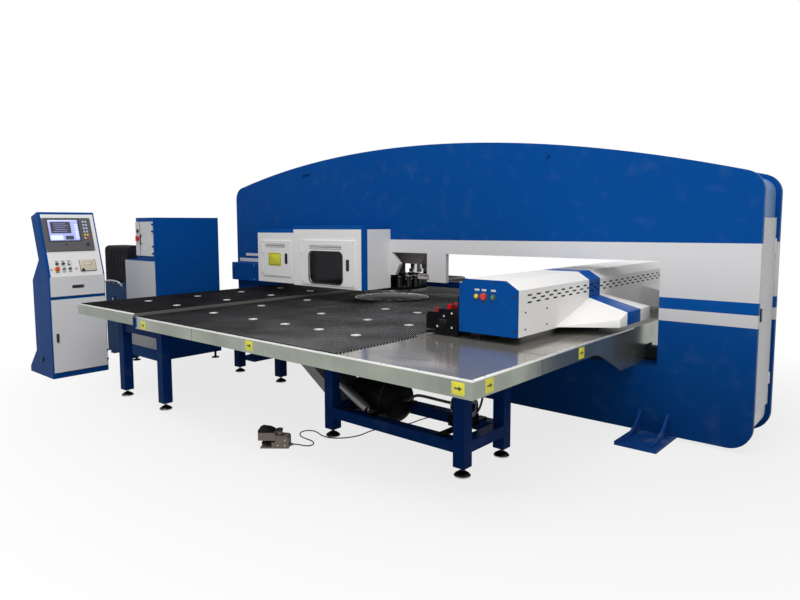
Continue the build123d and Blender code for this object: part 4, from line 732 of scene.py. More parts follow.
class PRESS_OT_stage(Operator):
    """Adds the floor, the lamps, the world and the camera"""

    bl_idname = "press.stage"
    bl_label = "Stage"

    def execute(self, context):
        values = settings()
        bpy.ops.mesh.primitive_plane_add(size=60.0, location=(0, 0, -0.0005))
        floor = bpy.context.object
        floor.name = "floor"
        floor.data.materials.append(self.floor_paint(values))
        self.add_world(values.world_level)
        for name, power, size, spot, aim in (
                ("key lamp", values.key_light, 7.0, (2.0, -4.5, 7.5), (0.0, -0.5, 0.6)),
                ("fill lamp", values.fill_light, 6.0, (6.5, -8.0, 3.2), (0.0, -0.5, 1.0)),
                ("back lamp", values.back_light, 7.0, (-2.5, 6.5, 5.5), (0.0, 0.6, 0.8))):
            bpy.ops.object.light_add(type="AREA", location=spot)
            lamp = bpy.context.object
            lamp.name = name
            lamp.data.energy = power
            lamp.data.size = size
            lamp.rotation_euler = (Vector(aim) - Vector(spot)).to_track_quat("-Z", "Y").to_euler()
        self.add_camera()
        context.scene.view_settings.view_transform = "Standard"
        return {"FINISHED"}

    @staticmethod
    def seen_rays(tree):
        """One for the rays that show the background: straight, mirrored and through glass."""
        path = add(tree, "ShaderNodeLightPath")
        seen = math_node(tree, "MAXIMUM", path.outputs["Is Camera Ray"], path.outputs["Is Glossy Ray"])
        return math_node(tree, "MAXIMUM", seen, path.outputs["Is Transmission Ray"])

    def add_world(self, level):
        """White where it is seen, and a softer even light on the machine."""
        world = bpy.data.worlds.new("studio")
        bpy.context.scene.world = world
        world.use_nodes = True
        sky = world.node_tree
        back = sky.nodes["Background"]
        back.inputs["Color"].default_value = (1.0, 1.0, 1.0, 1.0)
        strength = spread(sky, self.seen_rays(sky), level, 1.0, 0.0, 1.0)
        sky.links.new(strength, back.inputs["Strength"])

    def floor_paint(self, values):
        """Plain floor that keeps the shadow near the machine and goes white away from it."""
        material, tree, shader, place = blank_finish("floor paint", Roughness=0.9, Specular_IOR_Level=0.1)
        cloud = spread(tree, noise(tree, place, 0.4, 3.0), 0.0, 0.3)
        shade = blend_colours(tree, cloud, tuple(values.floor_colour), (0.56, 0.56, 0.56, 1.0))
        tree.links.new(shade, shader.inputs["Base Color"])
        away = add(tree, "ShaderNodeVectorMath", operation="LENGTH")
        tree.links.new(scaled(tree, place, (1 / 4.4, 1 / 3.6, 1.0)), away.inputs[0])
        far = spread(tree, away.outputs["Value"], 0.78, 1.0, 0.7, 1.25)
        glow = add(tree, "ShaderNodeEmission", Color=(1.0, 1.0, 1.0, 1.0), Strength=1.0)
        mixed = add(tree, "ShaderNodeMixShader")
        tree.links.new(math_node(tree, "MULTIPLY", far, self.seen_rays(tree)), mixed.inputs["Fac"])
        tree.links.new(shader.outputs["BSDF"], mixed.inputs[1])
        tree.links.new(glow.outputs["Emission"], mixed.inputs[2])
        tree.links.new(mixed.outputs["Shader"], tree.nodes["Material Output"].inputs["Surface"])
        return material

    @staticmethod
    def add_camera():
        """Sets the camera where the photographer stood."""
        ahead = Vector((-math.sin(CAMERA_YAW) * math.cos(CAMERA_PITCH),
                        math.cos(CAMERA_YAW) * math.cos(CAMERA_PITCH), -math.sin(CAMERA_PITCH)))
        level = Vector((math.cos(CAMERA_YAW), math.sin(CAMERA_YAW), 0.0))
        upright = level.cross(ahead)
        right = level * math.cos(CAMERA_ROLL) + upright * math.sin(CAMERA_ROLL)
        top = upright * math.cos(CAMERA_ROLL) - level * math.sin(CAMERA_ROLL)
        turn = Matrix((right, top, -ahead)).transposed()
        bpy.ops.object.camera_add(location=CAMERA_PLACE, rotation=turn.to_euler())
        camera = bpy.context.object
        camera.name = "photo camera"
        camera.data.lens = CAMERA_LENS
        camera.data.sensor_width = 36.0
        camera.data.shift_x, camera.data.shift_y = CAMERA_SHIFT
        camera.data.clip_end = 100.0
        bpy.context.scene.camera = camera


class PRESS_OT_pedal_cable(Operator):
    """Lays the pedal's cable in its loose loops"""

    bl_idname = "press.pedal_cable"
    bl_label = "Pedal cable"

    def execute(self, context):
        along = (math.cos(PEDAL_TURN), math.sin(PEDAL_TURN))
        start = (PEDAL_PLACE[0] + 132.0 * along[0] + 20.0 * along[1],
                 PEDAL_PLACE[1] + 132.0 * along[1] - 20.0 * along[0])
        route = [
            (start[0], start[1], 22.0),
            (start[0] + 30 * along[0], start[1] + 30 * along[1], 22.0),
            (start[0] + 76 * along[0], start[1] + 76 * along[1], 12.0),
            (512, -2232, 5), (508, -2184, 5), (470, -2152, 5), (415, -2140, 5), (350, -2140, 5),
            (288, -2128, 5), (240, -2090, 5), (214, -2040, 5), (232, -1992, 5), (285, -1972, 5),
            (345, -1987, 5), (412, -2012, 5), (496, -2008, 5), (564, -1958, 5), (612, -1880, 5),
            (634, -1796, 5), (618, -1682, 5), (642, -1560, 5), (700, -1444, 5), (742, -1316, 5),
            (736, -1184, 5), (760, -1056, 5), (748, -924, 5), (770, -796, 5), (762, -668, 5),
            (744, -552, 5), (748, -470, 9), (750, -414, 36), (750, -364, 70), (750, -329, 70),
        ]
        cable = nurbs_tube("pedal_cable_sheath", route, 4.5, 8, 4)
        cable.data.materials.append(finish("cable sheath"))
        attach(cable, "frame")
        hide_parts("pedal_cable")
        return {"FINISHED"}


class PRESS_OT_finishes(Operator):
    """Gives every node of the frame its finish"""

    bl_idname = "press.finishes"
    bl_label = "Finishes"

    def execute(self, context):
        for finish_name, names in FINISHED_NODES.items():
            for name in names.split():
                nodes[name].data.materials.clear()
                nodes[name].data.materials.append(finish(finish_name))
        return {"FINISHED"}


class PRESS_OT_frame_trim(Operator):
    """Adds the lugs, the bracket and the housing screws of the O-frame"""

    bl_idname = "press.frame_trim"
    bl_label = "Frame trim"

    def execute(self, context):
        lug = box((-1717, FRAME_FACE - 16, 2222), (-1577, FRAME_FACE + 1, 2256), 5, 3)
        sink(lug, (0, -1, 0), 8, 3)
        knob = disc((1416, FRAME_FACE + 1, 2226), 17, 18, "-y", 4)
        sink(knob, (0, -1, 0), 6, 4)
        settle([lug, knob], "frame_lugs", "frame", "blue enamel")
        arm = box((22, FRAME_FACE - 9, 1104), (158, FRAME_FACE, 1156), 2)
        sink(arm, (0, -1, 0), 7, 3)
        foot = box((22, FRAME_FACE - 8, 1112), (32, FRAME_FACE + 50, 1148), 2)
        bolts = repeat(screw_head(6, 4), [(x, FRAME_FACE - 9, 1130) for x in (146, 60)])
        settle([arm, foot, bolts], "cable_bracket", "frame", "warm grey enamel")
        places = [(x, -400, z) for x in (-3012, -2560, -2108) for z in (968, 1143)]
        add_screws("housing_screws", "frame", places, settings().screw_radius, 4)
        return {"FINISHED"}


class PRESS_OT_guard_trim(Operator):
    """Adds the window gasket, the label, the vents, the screws and the latch plates of the turret guard"""

    bl_idname = "press.guard_trim"
    bl_label = "Guard trim"

    def execute(self, context):
        gasket = plate((-871, MAIN_DOOR_FACE, 1202), 522, 350, "-y", 5, 62, 14, 1.6)
        settle(gasket, "window_gasket", "guard main door", "rubber")
        label = plate((-1755, SMALL_DOOR_FACE, 1260), 226, 150, "-y", 0.8, 6)
        settle(label, "guard_label", "guard small door", "yellow label")
        border = plate((-1755, SMALL_DOOR_FACE - 0.8, 1260), 206, 132, "-y", 0.3, 4, 5, 0)
        settle(border, "guard_label_border", "guard small door", "label ink")
        self.dress_door("main", MAIN_DOOR_FACE, ((-1222, -465), (1034, 1468)), (-1104, -622, 1414),
                        (-543, 1237))
        self.dress_door("small", SMALL_DOOR_FACE, ((-1955, -1492), (1088, 1454)), (-1900, -1560, 1416),
                        (-1552, 1272))
        return {"FINISHED"}

    @staticmethod
    def dress_door(name, face, corners, vents, latch):
        """Corner screws, three staggered rows of vent holes and the latch plate of a guard door."""
        body = "guard " + name + " door"
        places = [(x, face, z) for x in corners[0] for z in corners[1]]
        add_screws(name + "_door_screws", body, places, 5.5)
        left, right, middle = vents
        pitch, drop = 26, 17
        count = round((right - left) / pitch)
        step = (right - left) / count
        places = [(left + step * (column + 0.5 * (row % 2)), face, middle + drop * (1 - row))
                  for row in range(3) for column in range(count)]
        vent = disc((0, 0, 0), 6.5, 0.8, "-y", 0.2, 12, 1)
        settle(repeat(vent, places), name + "_vents", body, "label ink")
        collar = plate((latch[0], face, latch[1]), 44, 118, "-y", 0.4, 12, edge=0)
        settle(collar, name + "_latch_plate", body, "black enamel")


class PRESS_OT_turret_trim(Operator):
    """Adds the rims of both turrets and the tool caps, springs and bolts of the upper one"""

    bl_idname = "press.turret_trim"
    bl_label = "Turret trim"

    def execute(self, context):
        rims = [ring((TURRET_X, 0, z), TURRET_RIM, 398, depth, "z", 96)
                for z, depth in ((944.5, 5.5), (958, 6))]
        settle(rims, "upper_turret_rims", "upper turret", "bright steel")
        rim = ring((TURRET_X, 0, 843), TURRET_RIM, 396, 7.6, "z", 96)
        settle(rim, "lower_turret_rim", "lower turret", "dark steel")
        small, large = [], []
        for index in range(STATIONS):
            angle = 2 * math.pi * index / STATIONS
            place = (TURRET_X + STATION_CIRCLE * math.cos(angle), STATION_CIRCLE * math.sin(angle), 0)
            (large if index % 5 == 0 else small).append(place)
        for name, places, radius, head in (("small", small, 23, 34), ("large", large, 36, 50)):
            cap = disc((0, 0, 1103), radius, 4.6, "z", 1.2, 24)
            sink(cap, (0, 0, 1), radius * 0.35, 2.2)
            settle(repeat(cap, places), "tool_caps_" + name, "upper turret", "bright steel")
            coils = [ring((0, 0, 1002 + 15 * turn), head + 2, head - 4, 8, "z", 24) for turn in range(4)]
            springs = repeat(join(coils), places)
            settle(springs, "tool_springs_" + name, "upper turret", "dark steel")
        bolts = ring_of(screw_head(10, 7, "z"), (TURRET_X, 0), (TURRET_X + BOLT_CIRCLE, 0, 990), 12)
        settle(bolts, "turret_bolts", "upper turret", "black enamel")
        return {"FINISHED"}


class PRESS_OT_beam_trim(Operator):
    """Adds the collars, legend plates and screws of the feed beam"""

    bl_idname = "press.beam_trim"
    bl_label = "Beam trim"

    def execute(self, context):
        rings, legends = [], []
        for x, radius in ((1571, 15), (1628, 23), (1702, 15)):
            rings.append(ring((x, BEAM_END, 1154), radius + 7, radius + 1.5, 3, "-y", 32))
            legends.append(plate((x, BEAM_END, 1198), 38, 14, "-y", 1.2, 2))
        settle(rings, "button_collars", "beam", "grey plastic")
        settle(legends, "button_legends", "beam", "pale plastic")
        corners = ((1858, 1168), (1862, 934), (1714, 1255), (1440, 1188), (1440, 930))
        sides = [(COVER_RIGHT, y, z) for y in (-1500, -1195, 1195, 1500) for z in (1054, 939)]
        screws = [repeat(screw_head(settings().screw_radius, 4, axis), places) for axis, places in (
            ("-y", [(x, BEAM_END, z) for x, z in corners]),
            ("y", [(x, -BEAM_END, z) for x, z in corners]), ("x", sides))]
        settle(screws, "beam_screws", "beam", "dark steel")
        return {"FINISHED"}


class PRESS_OT_saddle_skirts(Operator):
    """Adds the two hipped skirts that cover the saddle beside the beam cover"""

    bl_idname = "press.saddle_skirts"
    bl_label = "Saddle skirts"

    def execute(self, context):
        near, far, top, shoulder, bottom = -181.0, -1055.0, 1070.0, 997.0, 900.0
        right = COVER_RIGHT + 365.0
        rear_shift = 509.0
        end_slope, under_slope = (270, COVER_RIGHT - right, 0), (11.5, -60.2, 208.0)
        corner = (COVER_RIGHT, far, bottom)
        skirts = []
        for side in (-1, 1):
            block = box((COVER_RIGHT - 2, far, bottom), (right, near, top), 0)
            self.cut(block, (COVER_RIGHT, near, top), (top - shoulder, 0, right - COVER_RIGHT))
            self.cut(block, corner, end_slope)
            self.cut(block, corner, under_slope)
            if side > 0:
                only(block)
                bpy.ops.transform.mirror(constraint_axis=(False, True, False), orient_type="GLOBAL",
                                         center_override=(0, 0, 0))
                bpy.ops.transform.translate(value=(0, rear_shift * MM, 0))
                apply_place(block)
                edit(block)
                bpy.ops.mesh.normals_make_consistent(inside=False)
                close()
            skirts.append(block)
        whole = join(skirts)
        soften(whole, 3, 2, 8.0)
        settle(whole, "hipped_skirts", "beam", "skirt enamel")
        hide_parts("saddle_skirts")
        return {"FINISHED"}

    @staticmethod
    def cut(block, point, away):
        """Cuts off what lies beyond a plane, on the side that away points to."""
        edit(block)
        bpy.ops.mesh.bisect(plane_co=metres(point), plane_no=Vector(away).normalized(), use_fill=True,
                            clear_outer=True)
        close()


class PRESS_OT_clamp_trim(Operator):
    """Adds the bolts, cylinder covers and air lines of the sheet clamps"""

    bl_idname = "press.clamp_trim"
    bl_label = "Clamp trim"

    def execute(self, context):
        bolts, covers, lines = [], [], []
        for y in CLAMP_ROWS:
            places = [(x, y - 105, z) for x, z in ((1215, 905), (1345, 905), (1345, 1010), (1275, 985))]
            bolts.append(repeat(screw_head(9, 5), places))
            cover = disc((1345, y + 55, 1035), 30, 9, "z", 2)
            sink(cover, (0, 0, 1), 9, 4)
            covers += [cover, plate((1260, y - 105, 945), 70, 34, "-y", 2, 4)]
            lines.append(pipe([(1300, y + 84, 1030), (1300, y + 84, 1052), (1318, y + 84, 1068),
                               (1362, y + 84, 1066), (1384, y + 84, 1052), (1398, y + 84, 1046)], 5.5))
            lines.append(pipe([(1318, y - 60, 1030), (1318, y - 60, 1056), (1336, y - 62, 1070),
                               (1370, y - 66, 1064), (1398, y - 66, 1056)], 5.5))
        settle(bolts, "clamp_bolts", "clamp carriage", "bright steel")
        settle(covers, "clamp_covers", "clamp carriage", "dark steel")
        settle(lines, "clamp_air_lines", "clamp carriage", "rubber")
        return {"FINISHED"}


class PRESS_OT_table_trim(Operator):
    """Adds the ball plates, edge strips, seams and arrow labels of the tables"""

    bl_idname = "press.table_trim"
    bl_label = "Table trim"

    def execute(self, context):
        self.add_ball_plates(settings().disc_radius)
        self.add_strips()
        self.add_seams()
        self.add_labels()
        return {"FINISHED"}

    @staticmethod
    def add_ball_plates(radius):
        """A dished plate with its ball at each place of the tables."""
        washer = disc((0, 0, 0), radius, 2.6, "z", 1, 32)
        sink(washer, (0, 0, 1), radius * 0.45, 1.4)
        bpy.ops.mesh.primitive_uv_sphere_add(segments=16, ring_count=8, radius=radius * 0.3 * MM)
        ball = bpy.context.object
        ball.scale = (1, 1, 0.34)
        apply_place(ball)
        bpy.ops.object.shade_smooth()
        rows = [(2010, (-1040, -440, -17, 392, 790)), (1400, (-1120, -240, 340, 790)),
                (790, (-1120, 0, 392, 790))]
        top, left_top = TABLE_TOP + BED_THICKNESS, LEFT_TABLE_TOP + BED_THICKNESS
        places = [(x, side * y, top) for y, xs in rows for x in xs for side in (1, -1)]
        places += [(x, y, left_top) for x in (-2160, -1610)
                   for y in (-2050, -1470, -890, -310, 310, 890, 1470, 2050)]
        settle(repeat(join([washer, ball]), places), "ball_plates", "frame", "edge steel")

    @staticmethod
    def add_strips():
        """Bright strips along the rims, each a flat and a turned-down lip, with their screws."""
        top, left_top = TABLE_TOP + STRIP_THICKNESS, LEFT_TABLE_TOP + STRIP_THICKNESS
        strips = []
        for side in (-1, 1):
            for low, high, front, bed in (
                    (TABLE_JOINT[1], TABLE_RIGHT + LIP, TABLE_FRONT, TABLE_TOP),
                    (LEFT_TABLE_END - LIP, TABLE_JOINT[0], LEFT_TABLE_FRONT, LEFT_TABLE_TOP)):
                raised, outer = bed + STRIP_THICKNESS, front + 0.5
                strips.append(box((low, side * (outer - 19), bed), (high, side * outer, raised), 0.8))
                strips.append(box((low, side * front, bed - LIP_DROP),
                                  (high, side * (front + LIP), raised), 0.7))
            strips.append(box((TABLE_RIGHT - STRIP_REACH, side * BEAM_SLOT, TABLE_TOP),
                              (TABLE_RIGHT + 1, side * (TABLE_FRONT - STRIP_REACH), top), 0.8))
            strips.append(box((TABLE_RIGHT, side * BEAM_SLOT, TABLE_TOP - LIP_DROP),
                              (TABLE_RIGHT + LIP, side * (TABLE_FRONT + 1), top), 0.7))
        inner, outer = LEFT_TABLE_FRONT - STRIP_REACH, LEFT_TABLE_FRONT + 1
        strips.append(box((LEFT_TABLE_END - 1, -inner, LEFT_TABLE_TOP),
                          (LEFT_TABLE_END + STRIP_REACH, inner, left_top), 0.8))
        strips.append(box((LEFT_TABLE_END - LIP, -outer, LEFT_TABLE_TOP - LIP_DROP),
                          (LEFT_TABLE_END, outer, left_top), 0.7))
        settle(strips, "table_edge_strips", "frame", "edge steel")

        rows = [(range(-1250, 2150, 280), TABLE_FRONT, top),
                (range(-2480, -1420, 250), LEFT_TABLE_FRONT, left_top)]
        places = [(x, side * (front - SCREW_INSET), z) for xs, front, z in rows for x in xs
                  for side in (-1, 1)]
        places += [(TABLE_RIGHT - SCREW_INSET, side * y, top) for y in range(500, 2500, 280)
                   for side in (-1, 1)]
        screws = repeat(screw_head(5, 1.6, "z", 12), places)
        settle(screws, "strip_screws", "frame", "tool steel")

    @staticmethod
    def add_seams():
        """The seams of the aprons and the beds, and the blocks where the two tables meet."""
        seams, blocks = [], []
        for side in (-1, 1):
            facing = "-y" if side < 0 else "y"
            seams.append(plate((-470, side * TABLE_FRONT, 786), 3, 98, facing, 0.5, edge=0))
            seams.append(plate((TABLE_RIGHT, side * 1830, 786), 3, 98, "x", 0.5, edge=0))
            low, high = sorted((side * 1743.5, side * 1746.5))
            seams.append(box((1150, low, TABLE_TOP), (2164, high, TABLE_TOP + 0.4), 0))
            blocks.append(box((-1416, side * (TABLE_FRONT - 2), 742), (-1385, side * 2603, 842), 3))
        settle(seams, "table_seams", "frame", "black enamel")
        settle(blocks, "table_joint_blocks", "frame", "deep blue enamel")

    @staticmethod
    def add_labels():
        """Yellow labels along the front and right aprons, each with a dark arrow."""
        labels, inks = [], []
        front = [(x, -TABLE_FRONT, z) for x, z in ((-1254, 776), (283, 788), (2100, 786))]
        right = [(TABLE_RIGHT, y, 786) for y in (-2425, -1285)]
        for facing, out, height, places in (("-y", (0, -LABEL_THICKNESS, 0), 72, front),
                                            ("x", (LABEL_THICKNESS, 0, 0), 78, right)):
            for place in places:
                labels.append(plate(place, 84, height, facing, LABEL_THICKNESS, 4))
                inks.extend(arrow(Vector(place) + Vector(out), 52, facing))
        settle(labels, "table_labels", "frame", "yellow label")
        settle(inks, "table_label_arrows", "frame", "label ink")


class PRESS_OT_console_trim(Operator):
    """Adds the screen, keys, knobs and plates of the operator console"""

    bl_idname = "press.console_trim"
    bl_label = "Console trim"

    def execute(self, context):
        self.add_screen()
        self.add_keys()
        self.add_knobs()
        self.add_fittings()
        return {"FINISHED"}

    @staticmethod
    def patch(slope, y, lift, width, height, thickness, corner=0.0, edge=0.0, band=None):
        """A thin plate on the sloping face."""
        return plate(console_point(slope, y, lift), width, height, "slope", thickness, corner, band, edge)

    def add_screen(self):
        """The lit screen in its bezel, with made-up windows and lines."""
        middle = (516, -2411)
        settle(self.patch(*middle, 8.8, 318, 238, 1.6, 3, 0.4), "screen", "frame",
               "screen glow")
        settle(self.patch(*middle, 13.8, 344, 262, 3, 8, 1, 11), "screen_bezel", "frame",
               "black plastic")
        windows = [self.patch(628, -2411, 10.3, 312, 10, 0.4),
                   self.patch(432, -2494, 10.3, 128, 54, 0.4, 2)]
        windows += [self.patch(420 + 20 * row, -2276, 10.3, 36, 13, 0.4, 2) for row in range(9)]
        settle(windows, "screen_windows", "frame", "screen pale")
        dark = [self.patch(545, -2440, 10.3, 214, 132, 0.4, 2),
                self.patch(428, -2360, 10.3, 88, 44, 0.4, 2)]
        settle(dark, "screen_views", "frame", "screen dark")
        lines = [self.patch(500 + 22 * row, -2452 + 14 * (row % 2), 10.7, 150 - 18 * (row % 3), 3, 0.2)
                 for row in range(5)]
        settle(lines, "screen_traces", "frame", "screen glow")

    def add_keys(self):
        """Two columns of keys beside the screen, and the panel's socket, feed knob and rivets."""
        pale, yellow, red = [], [], []
        for row in range(6):
            for column in range(2):
                key = self.patch(418 + 38 * row, -2194 + 30 * column, 16.8, 20, 24, 2.4, 3, 0.4)
                target = yellow if row == 1 else red if (row, column) == (0, 1) else pale
                target.append(key)
        settle(pale, "keys_pale", "frame", "key plastic")
        settle(yellow, "keys_yellow", "frame", "yellow plastic")
        settle(red, "key_red", "frame", "red plastic")
        socket = disc(console_point(348, -2413, 13.5), 10, 4, "slope", 1)
        sink(socket, SLOPE_OUT, 4, 3)
        dial = disc(console_point(348, -2179, 13.5), 17, 14, "slope", 3)
        sink(dial, SLOPE_OUT, 6, 2)
        settle([socket, dial], "panel_socket", "frame", "black plastic")
        rivets = [disc(console_point(slope, y, 13.8), 4, 1.6, "slope", 0.6, 12)
                  for slope in (288, 643) for y in (-2620, -2122)]
        settle(rivets, "panel_screws", "frame", "bright steel")

    def add_knobs(self):
        """Collars, caps and blank legends of the two rows of knobs below the screen."""
        upper, lower, columns = 137, 78, (-2546, -2481, -2417)
        spots = [(upper, y) for y in columns] + [(lower, -2479), (lower, -2416)]
        collars = [ring(console_point(slope, y), 20, 14.6, 4, "slope", 32) for slope, y in spots]
        settle(collars, "knob_collars", "frame", "bright steel")
        stop = ring(console_point(lower, -2552), 29, 22.5, 4, "slope", 32)
        settle(stop, "stop_collar", "frame", "yellow plastic")
        caps = [disc(console_point(*spot), 12.5, 3, "slope", 1.4)
                for spot in ((upper, columns[0], 21.5), (upper, columns[1], 21.5), (lower, -2416, 15.5))]
        settle(caps, "black_knob_caps", "frame", "black plastic")
        caps = [disc(console_point(lower, y, 15.6), 7, 2.4, "slope", 1) for y in (-2612, -2352)]
        caps.append(disc(console_point(upper, columns[2], 21.5), 12.5, 3, "slope", 1.4))
        settle(caps, "pale_knob_caps", "frame", "pale plastic")
        legends = [self.patch(slope, y, 0, 34, 9, 1, 1.5)
                   for slope, ys in ((166, columns), (44, (-2552, -2479, -2416))) for y in ys]
        settle(legends, "knob_legends", "frame", "grey plastic")

    def add_fittings(self):
        """The selector's field and border, the drawer's pull and the plug."""
        field = self.patch(109, -2218, 5.8, 168, 124, 0.6, 8, 0.2)
        settle(field, "selector_field", "frame", "beige plastic")
        border = self.patch(128, -2218, 6.3, 96, 40, 0.8, 4, 0.2, 3)
        settle(border, "selector_frame", "frame", "grey plastic")
        face = CONSOLE_FRONT + 18
        bezel = plate((face, -2354, 990), 128, 34, "x", 2.4, 8, 9, 0.8)
        slot = plate((face - 8, -2354, 990), 106, 16, "x", 1.2, edge=0)
        settle([bezel, slot], "drawer_pull", "console drawer", "black plastic")
        plug = disc((-3420, -2654, 180), 26, 16, "-y", 3)
        sink(plug, (0, -1, 0), 9, 8)
        settle(plug, "console_plug", "frame", "black plastic")


class PRESS_OT_cabinet_trim(Operator):
    """Adds the gap strip, switch, legend, handle, screws and pads of the control cabinet"""

    bl_idname = "press.cabinet_trim"
    bl_label = "Cabinet trim"

    def execute(self, context):
        door, face, switch_x = "cabinet door", CABINET_DOOR_FACE, -3085
        strip = plate((-3040, face, 1498), 9, 386, "-y", 1.6, edge=0.3)
        settle(strip, "door_gap_strip", door, "grey plastic")
        dial = ring((switch_x, face, 1500), 40, 31, 3, "-y", 40)
        settle(dial, "isolator_plate", door, "pale plastic")
        handle = box((-3022, face - 18, 1430), (-3008, face + 1, 1550), 4, 3)
        settle(handle, "cabinet_handle", door, "black plastic")
        switch = disc((switch_x, face, 1588), 21, 14, "-y", 3, 32)
        sink(switch, (0, -1, 0), 6, 3)
        settle(switch, "cabinet_switch", door, "black plastic")
        legend = plate((switch_x, face, 1428), 44, 26, "-y", 1, 3)
        settle(legend, "cabinet_legend", door, "pale plastic")
        places = [(x, -1648, z) for x in (-3430, -2775) for z in (240, 1220)]
        add_screws("cabinet_screws", "frame", places, 6)
        pads = [disc((x, y, 1), 46, 11, "z", 2, 32) for x in (-3395, -2795) for y in (-1580, -850)]
        settle(pads, "cabinet_pads", "frame", "rubber")
        return {"FINISHED"}


class PRESS_OT_hydraulic_trim(Operator):
    """Adds the louvres, pipe, filler, motor cowl, level glass, pads and bolts of the hydraulic unit"""

    bl_idname = "press.hydraulic_trim"
    bl_label = "Hydraulic trim"

    def execute(self, context):
        louvres = [box((-3848, -1606, z), (-3540, -1599, z + 12), 3, 3) for z in range(240, 800, 46)]
        settle(louvres, "tank_louvres", "frame", "tank enamel")
        line = pipe([(-4066, -1598, 900), (-4066, -1618, 916), (-4040, -1624, 950), (-3930, -1624, 962),
                     (-3790, -1624, 962), (-3680, -1624, 950), (-3652, -1618, 916), (-3652, -1598, 900)], 9)
        settle(line, "return_pipe", "frame", "white enamel")
        filler = (-4050, -1060)
        cap = disc((*filler, 949), 48, 30, "z", 6)
        sink(cap, (0, 0, 1), 12, 5)
        neck = disc((*filler, 945), 34, 8, "z", 1)
        settle([cap, neck], "filler_cap", "frame", "black plastic")
        self.add_motor_cowl()
        glass = box((-3896, -1617, 575), (-3874, -1610, 745), 3, 3)
        settle(glass, "level_glass", "frame", "pale plastic")
        pads = [box((x - 46, y - 46, 1), (x + 46, y + 46, 14), 3)
                for x in (-4055, -3560) for y in (-1530, -970)]
        settle(pads, "tank_pads", "frame", "rubber")
        add_screws("tank_rim_bolts", "frame", [(x, -1612, 932) for x in range(-4090, -3500, 118)], 8, 5)
        return {"FINISHED"}

    @staticmethod
    def add_motor_cowl():
        """Fins, cowl, lid and terminal box of the pump's motor."""
        x, y = PUMP_CENTRE
        fin = box((x + 103.5, y - 3, 985), (x + 114.5, y + 3, 1270), 1)
        fins = ring_of(fin, PUMP_CENTRE, (0, 0, 0), 28)
        cowl = ring((x, y, 1282), 112, 96, 50, "z", 48)
        lid = disc((x, y, 1322), 108, 10, "z", 4, 48)
        sink(lid, (0, 0, 1), 40, 4)
        terminals = box((-3870, -1206, 1050), (-3745, -1160, 1160), 6, 3)
        settle([fins, cowl, lid, terminals], "pump_motor_cowl", "frame", "deep blue enamel")


class PRESS_OT_stand_trim(Operator):
    """Adds the lock nuts of the feet and the pipework under the front right table"""

    bl_idname = "press.stand_trim"
    bl_label = "Stand trim"

    def execute(self, context):
        self.add_foot_trim()
        axis_y, pump_z = -1695.5, 390
        bands = [ring((x, axis_y, 313), 168, 161, 26, "x", 64) for x in (632, 862)]
        settle(bands, "receiver_bands", "frame", "black enamel")
        tube = pipe([(980, -1695, 330), (1030, -1695, 334), (1075, -1700, 372), (1130, -1705, 396),
                     (1260, -1700, 392), (1370, -1690, 386), (1425, -1690, 386), (1462, -1690, 386)], 11)
        rise = pipe([(1540, -1700, 440), (1540, -1700, 500), (1552, -1712, 560), (1580, -1760, 620),
                     (1600, -1800, 690), (1600, -1800, 834)], 10)
        drop = pipe([(1590, -1650, 330), (1620, -1640, 360), (1626, -1600, 470), (1600, -1560, 560),
                     (1570, -1500, 660), (1570, -1466, 710)], 8)
        settle([tube, rise, drop], "air_pipes", "frame", "rubber")
        flange = ring((1456, axis_y, pump_z), 66, 40, 10, "x", 40)
        cowl = ring((1590, axis_y, pump_z), 66, 30, 14, "x", 40)
        settle([flange, cowl], "pump_flanges", "frame", "tool steel")
        silencer = disc((0, 0, 0), 36, 300, "z", 10, 32)
        sink(silencer, (0, 0, 1), 12, 5)
        muffler = join([silencer, disc((0, 0, 298), 14, 34, "z", 2, 20)])
        muffler.rotation_euler = (0, math.radians(-63), 0)
        muffler.location = metres((830, -1932, 282))
        apply_place(muffler)
        settle(muffler, "silencer", "frame", "tool steel")
        return {"FINISHED"}

    @staticmethod
    def add_foot_trim():
        """A lock nut and a bright rim on each levelling foot."""
        rows = (((-1915, -1195), (2433, 1108)), ((464, 1685), (1940, 1451)))
        places = [(x, side * y, 0) for xs, ys in rows for x in xs for y in ys for side in (-1, 1)]
        nut = disc((0, 0, 50), 21, 12, "z", 1.4, 6)
        settle(repeat(nut, places), "foot_lock_nuts", "frame", "bright steel")
        shoe = ring((0, 0, 0.4), 56.5, 47, 9, "z", 40)
        settle(repeat(shoe, places), "foot_rims", "frame", "bright steel")


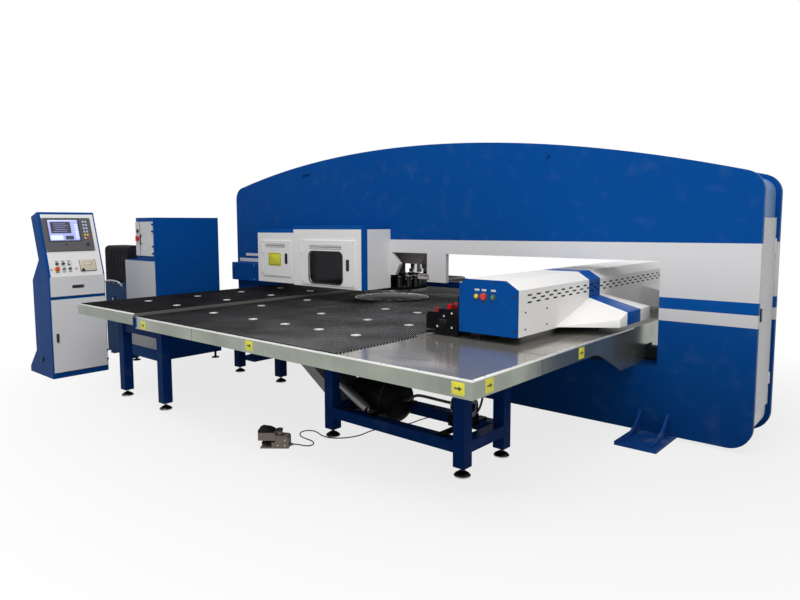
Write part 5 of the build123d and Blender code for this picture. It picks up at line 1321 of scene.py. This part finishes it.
class PRESS_OT_pedal_trim(Operator):
    """Adds the knob, the tread ribs, the feet, the screws and the gland of the foot pedal"""

    bl_idname = "press.pedal_trim"
    bl_label = "Pedal trim"

    def add(self, pieces, name, body, slot, finish_name):
        """Turns pieces from the pedal's own axes to their place on the floor and settles them."""
        whole = join(pieces)
        whole.rotation_euler = (0, 0, PEDAL_TURN)
        whole.location = metres(PEDAL_PLACE)
        apply_place(whole)
        settle(whole, name, body, finish_name)

    def execute(self, context):
        cap = disc((32, 0, 125), 25, 12, "z", 4, 32)
        sink(cap, (0, 0, 1), 8, 3)
        skirt = ring((32, 0, 88), 27, 21.5, 8, "z", 32)
        self.add([cap, skirt], "pedal_knob", "frame", "black_plastic", "black plastic")
        ribs = [box((x, -38, 41.5), (x + 5, 38, 46), 1.5) for x in range(-92, -20, 14)]
        self.add(ribs, "tread_ribs", "pedal treadle", "black_metal", "rubber")
        feet = [disc((x, y, 0.4), 11, 6, "z", 2, 20) for x in (-88, 88) for y in (-44, 44)]
        self.add(feet, "pedal_feet", "frame", "cable_rubber", "rubber")
        screws = repeat(screw_head(5, 3), [(x, -54, z) for x, z in ((78, 24), (78, 62), (24, 24))])
        self.add([screws], "pedal_screws", "frame", "bright_steel", "bright steel")
        nose = ring((105, -20, 22), 14, 9.6, 12, "x", 24)
        self.add([nose], "pedal_gland", "frame", "black_plastic", "black plastic")
        return {"FINISHED"}


class PRESS_PT_sidebar(Panel):
    bl_label = "Turret Punch Press"
    bl_idname = "PRESS_PT_sidebar"
    bl_space_type = "VIEW_3D"
    bl_region_type = "UI"
    bl_category = "Punch Press"

    def draw(self, context):
        column = self.layout.column()
        for name in PressSettings.__annotations__:
            column.prop(context.scene.punch_press, name)
        for operator in OPERATORS:
            column.operator(operator.bl_idname)


OPERATORS = (
    PRESS_OT_stage,
    PRESS_OT_pedal_cable,
    PRESS_OT_finishes,
    PRESS_OT_frame_trim,
    PRESS_OT_guard_trim,
    PRESS_OT_turret_trim,
    PRESS_OT_beam_trim,
    PRESS_OT_saddle_skirts,
    PRESS_OT_clamp_trim,
    PRESS_OT_table_trim,
    PRESS_OT_console_trim,
    PRESS_OT_cabinet_trim,
    PRESS_OT_hydraulic_trim,
    PRESS_OT_stand_trim,
    PRESS_OT_pedal_trim,
)
CLASSES = (PressSettings, *OPERATORS, PRESS_PT_sidebar)


def register():
    for one in CLASSES:
        bpy.utils.register_class(one)
    bpy.types.Scene.punch_press = PointerProperty(type=PressSettings)


def unregister():
    del bpy.types.Scene.punch_press
    for one in reversed(CLASSES):
        bpy.utils.unregister_class(one)


def main():
    register()
    for operator in OPERATORS:
        group, call = operator.bl_idname.split(".")
        getattr(getattr(bpy.ops, group), call)()


if __name__ == "__main__":
    main()
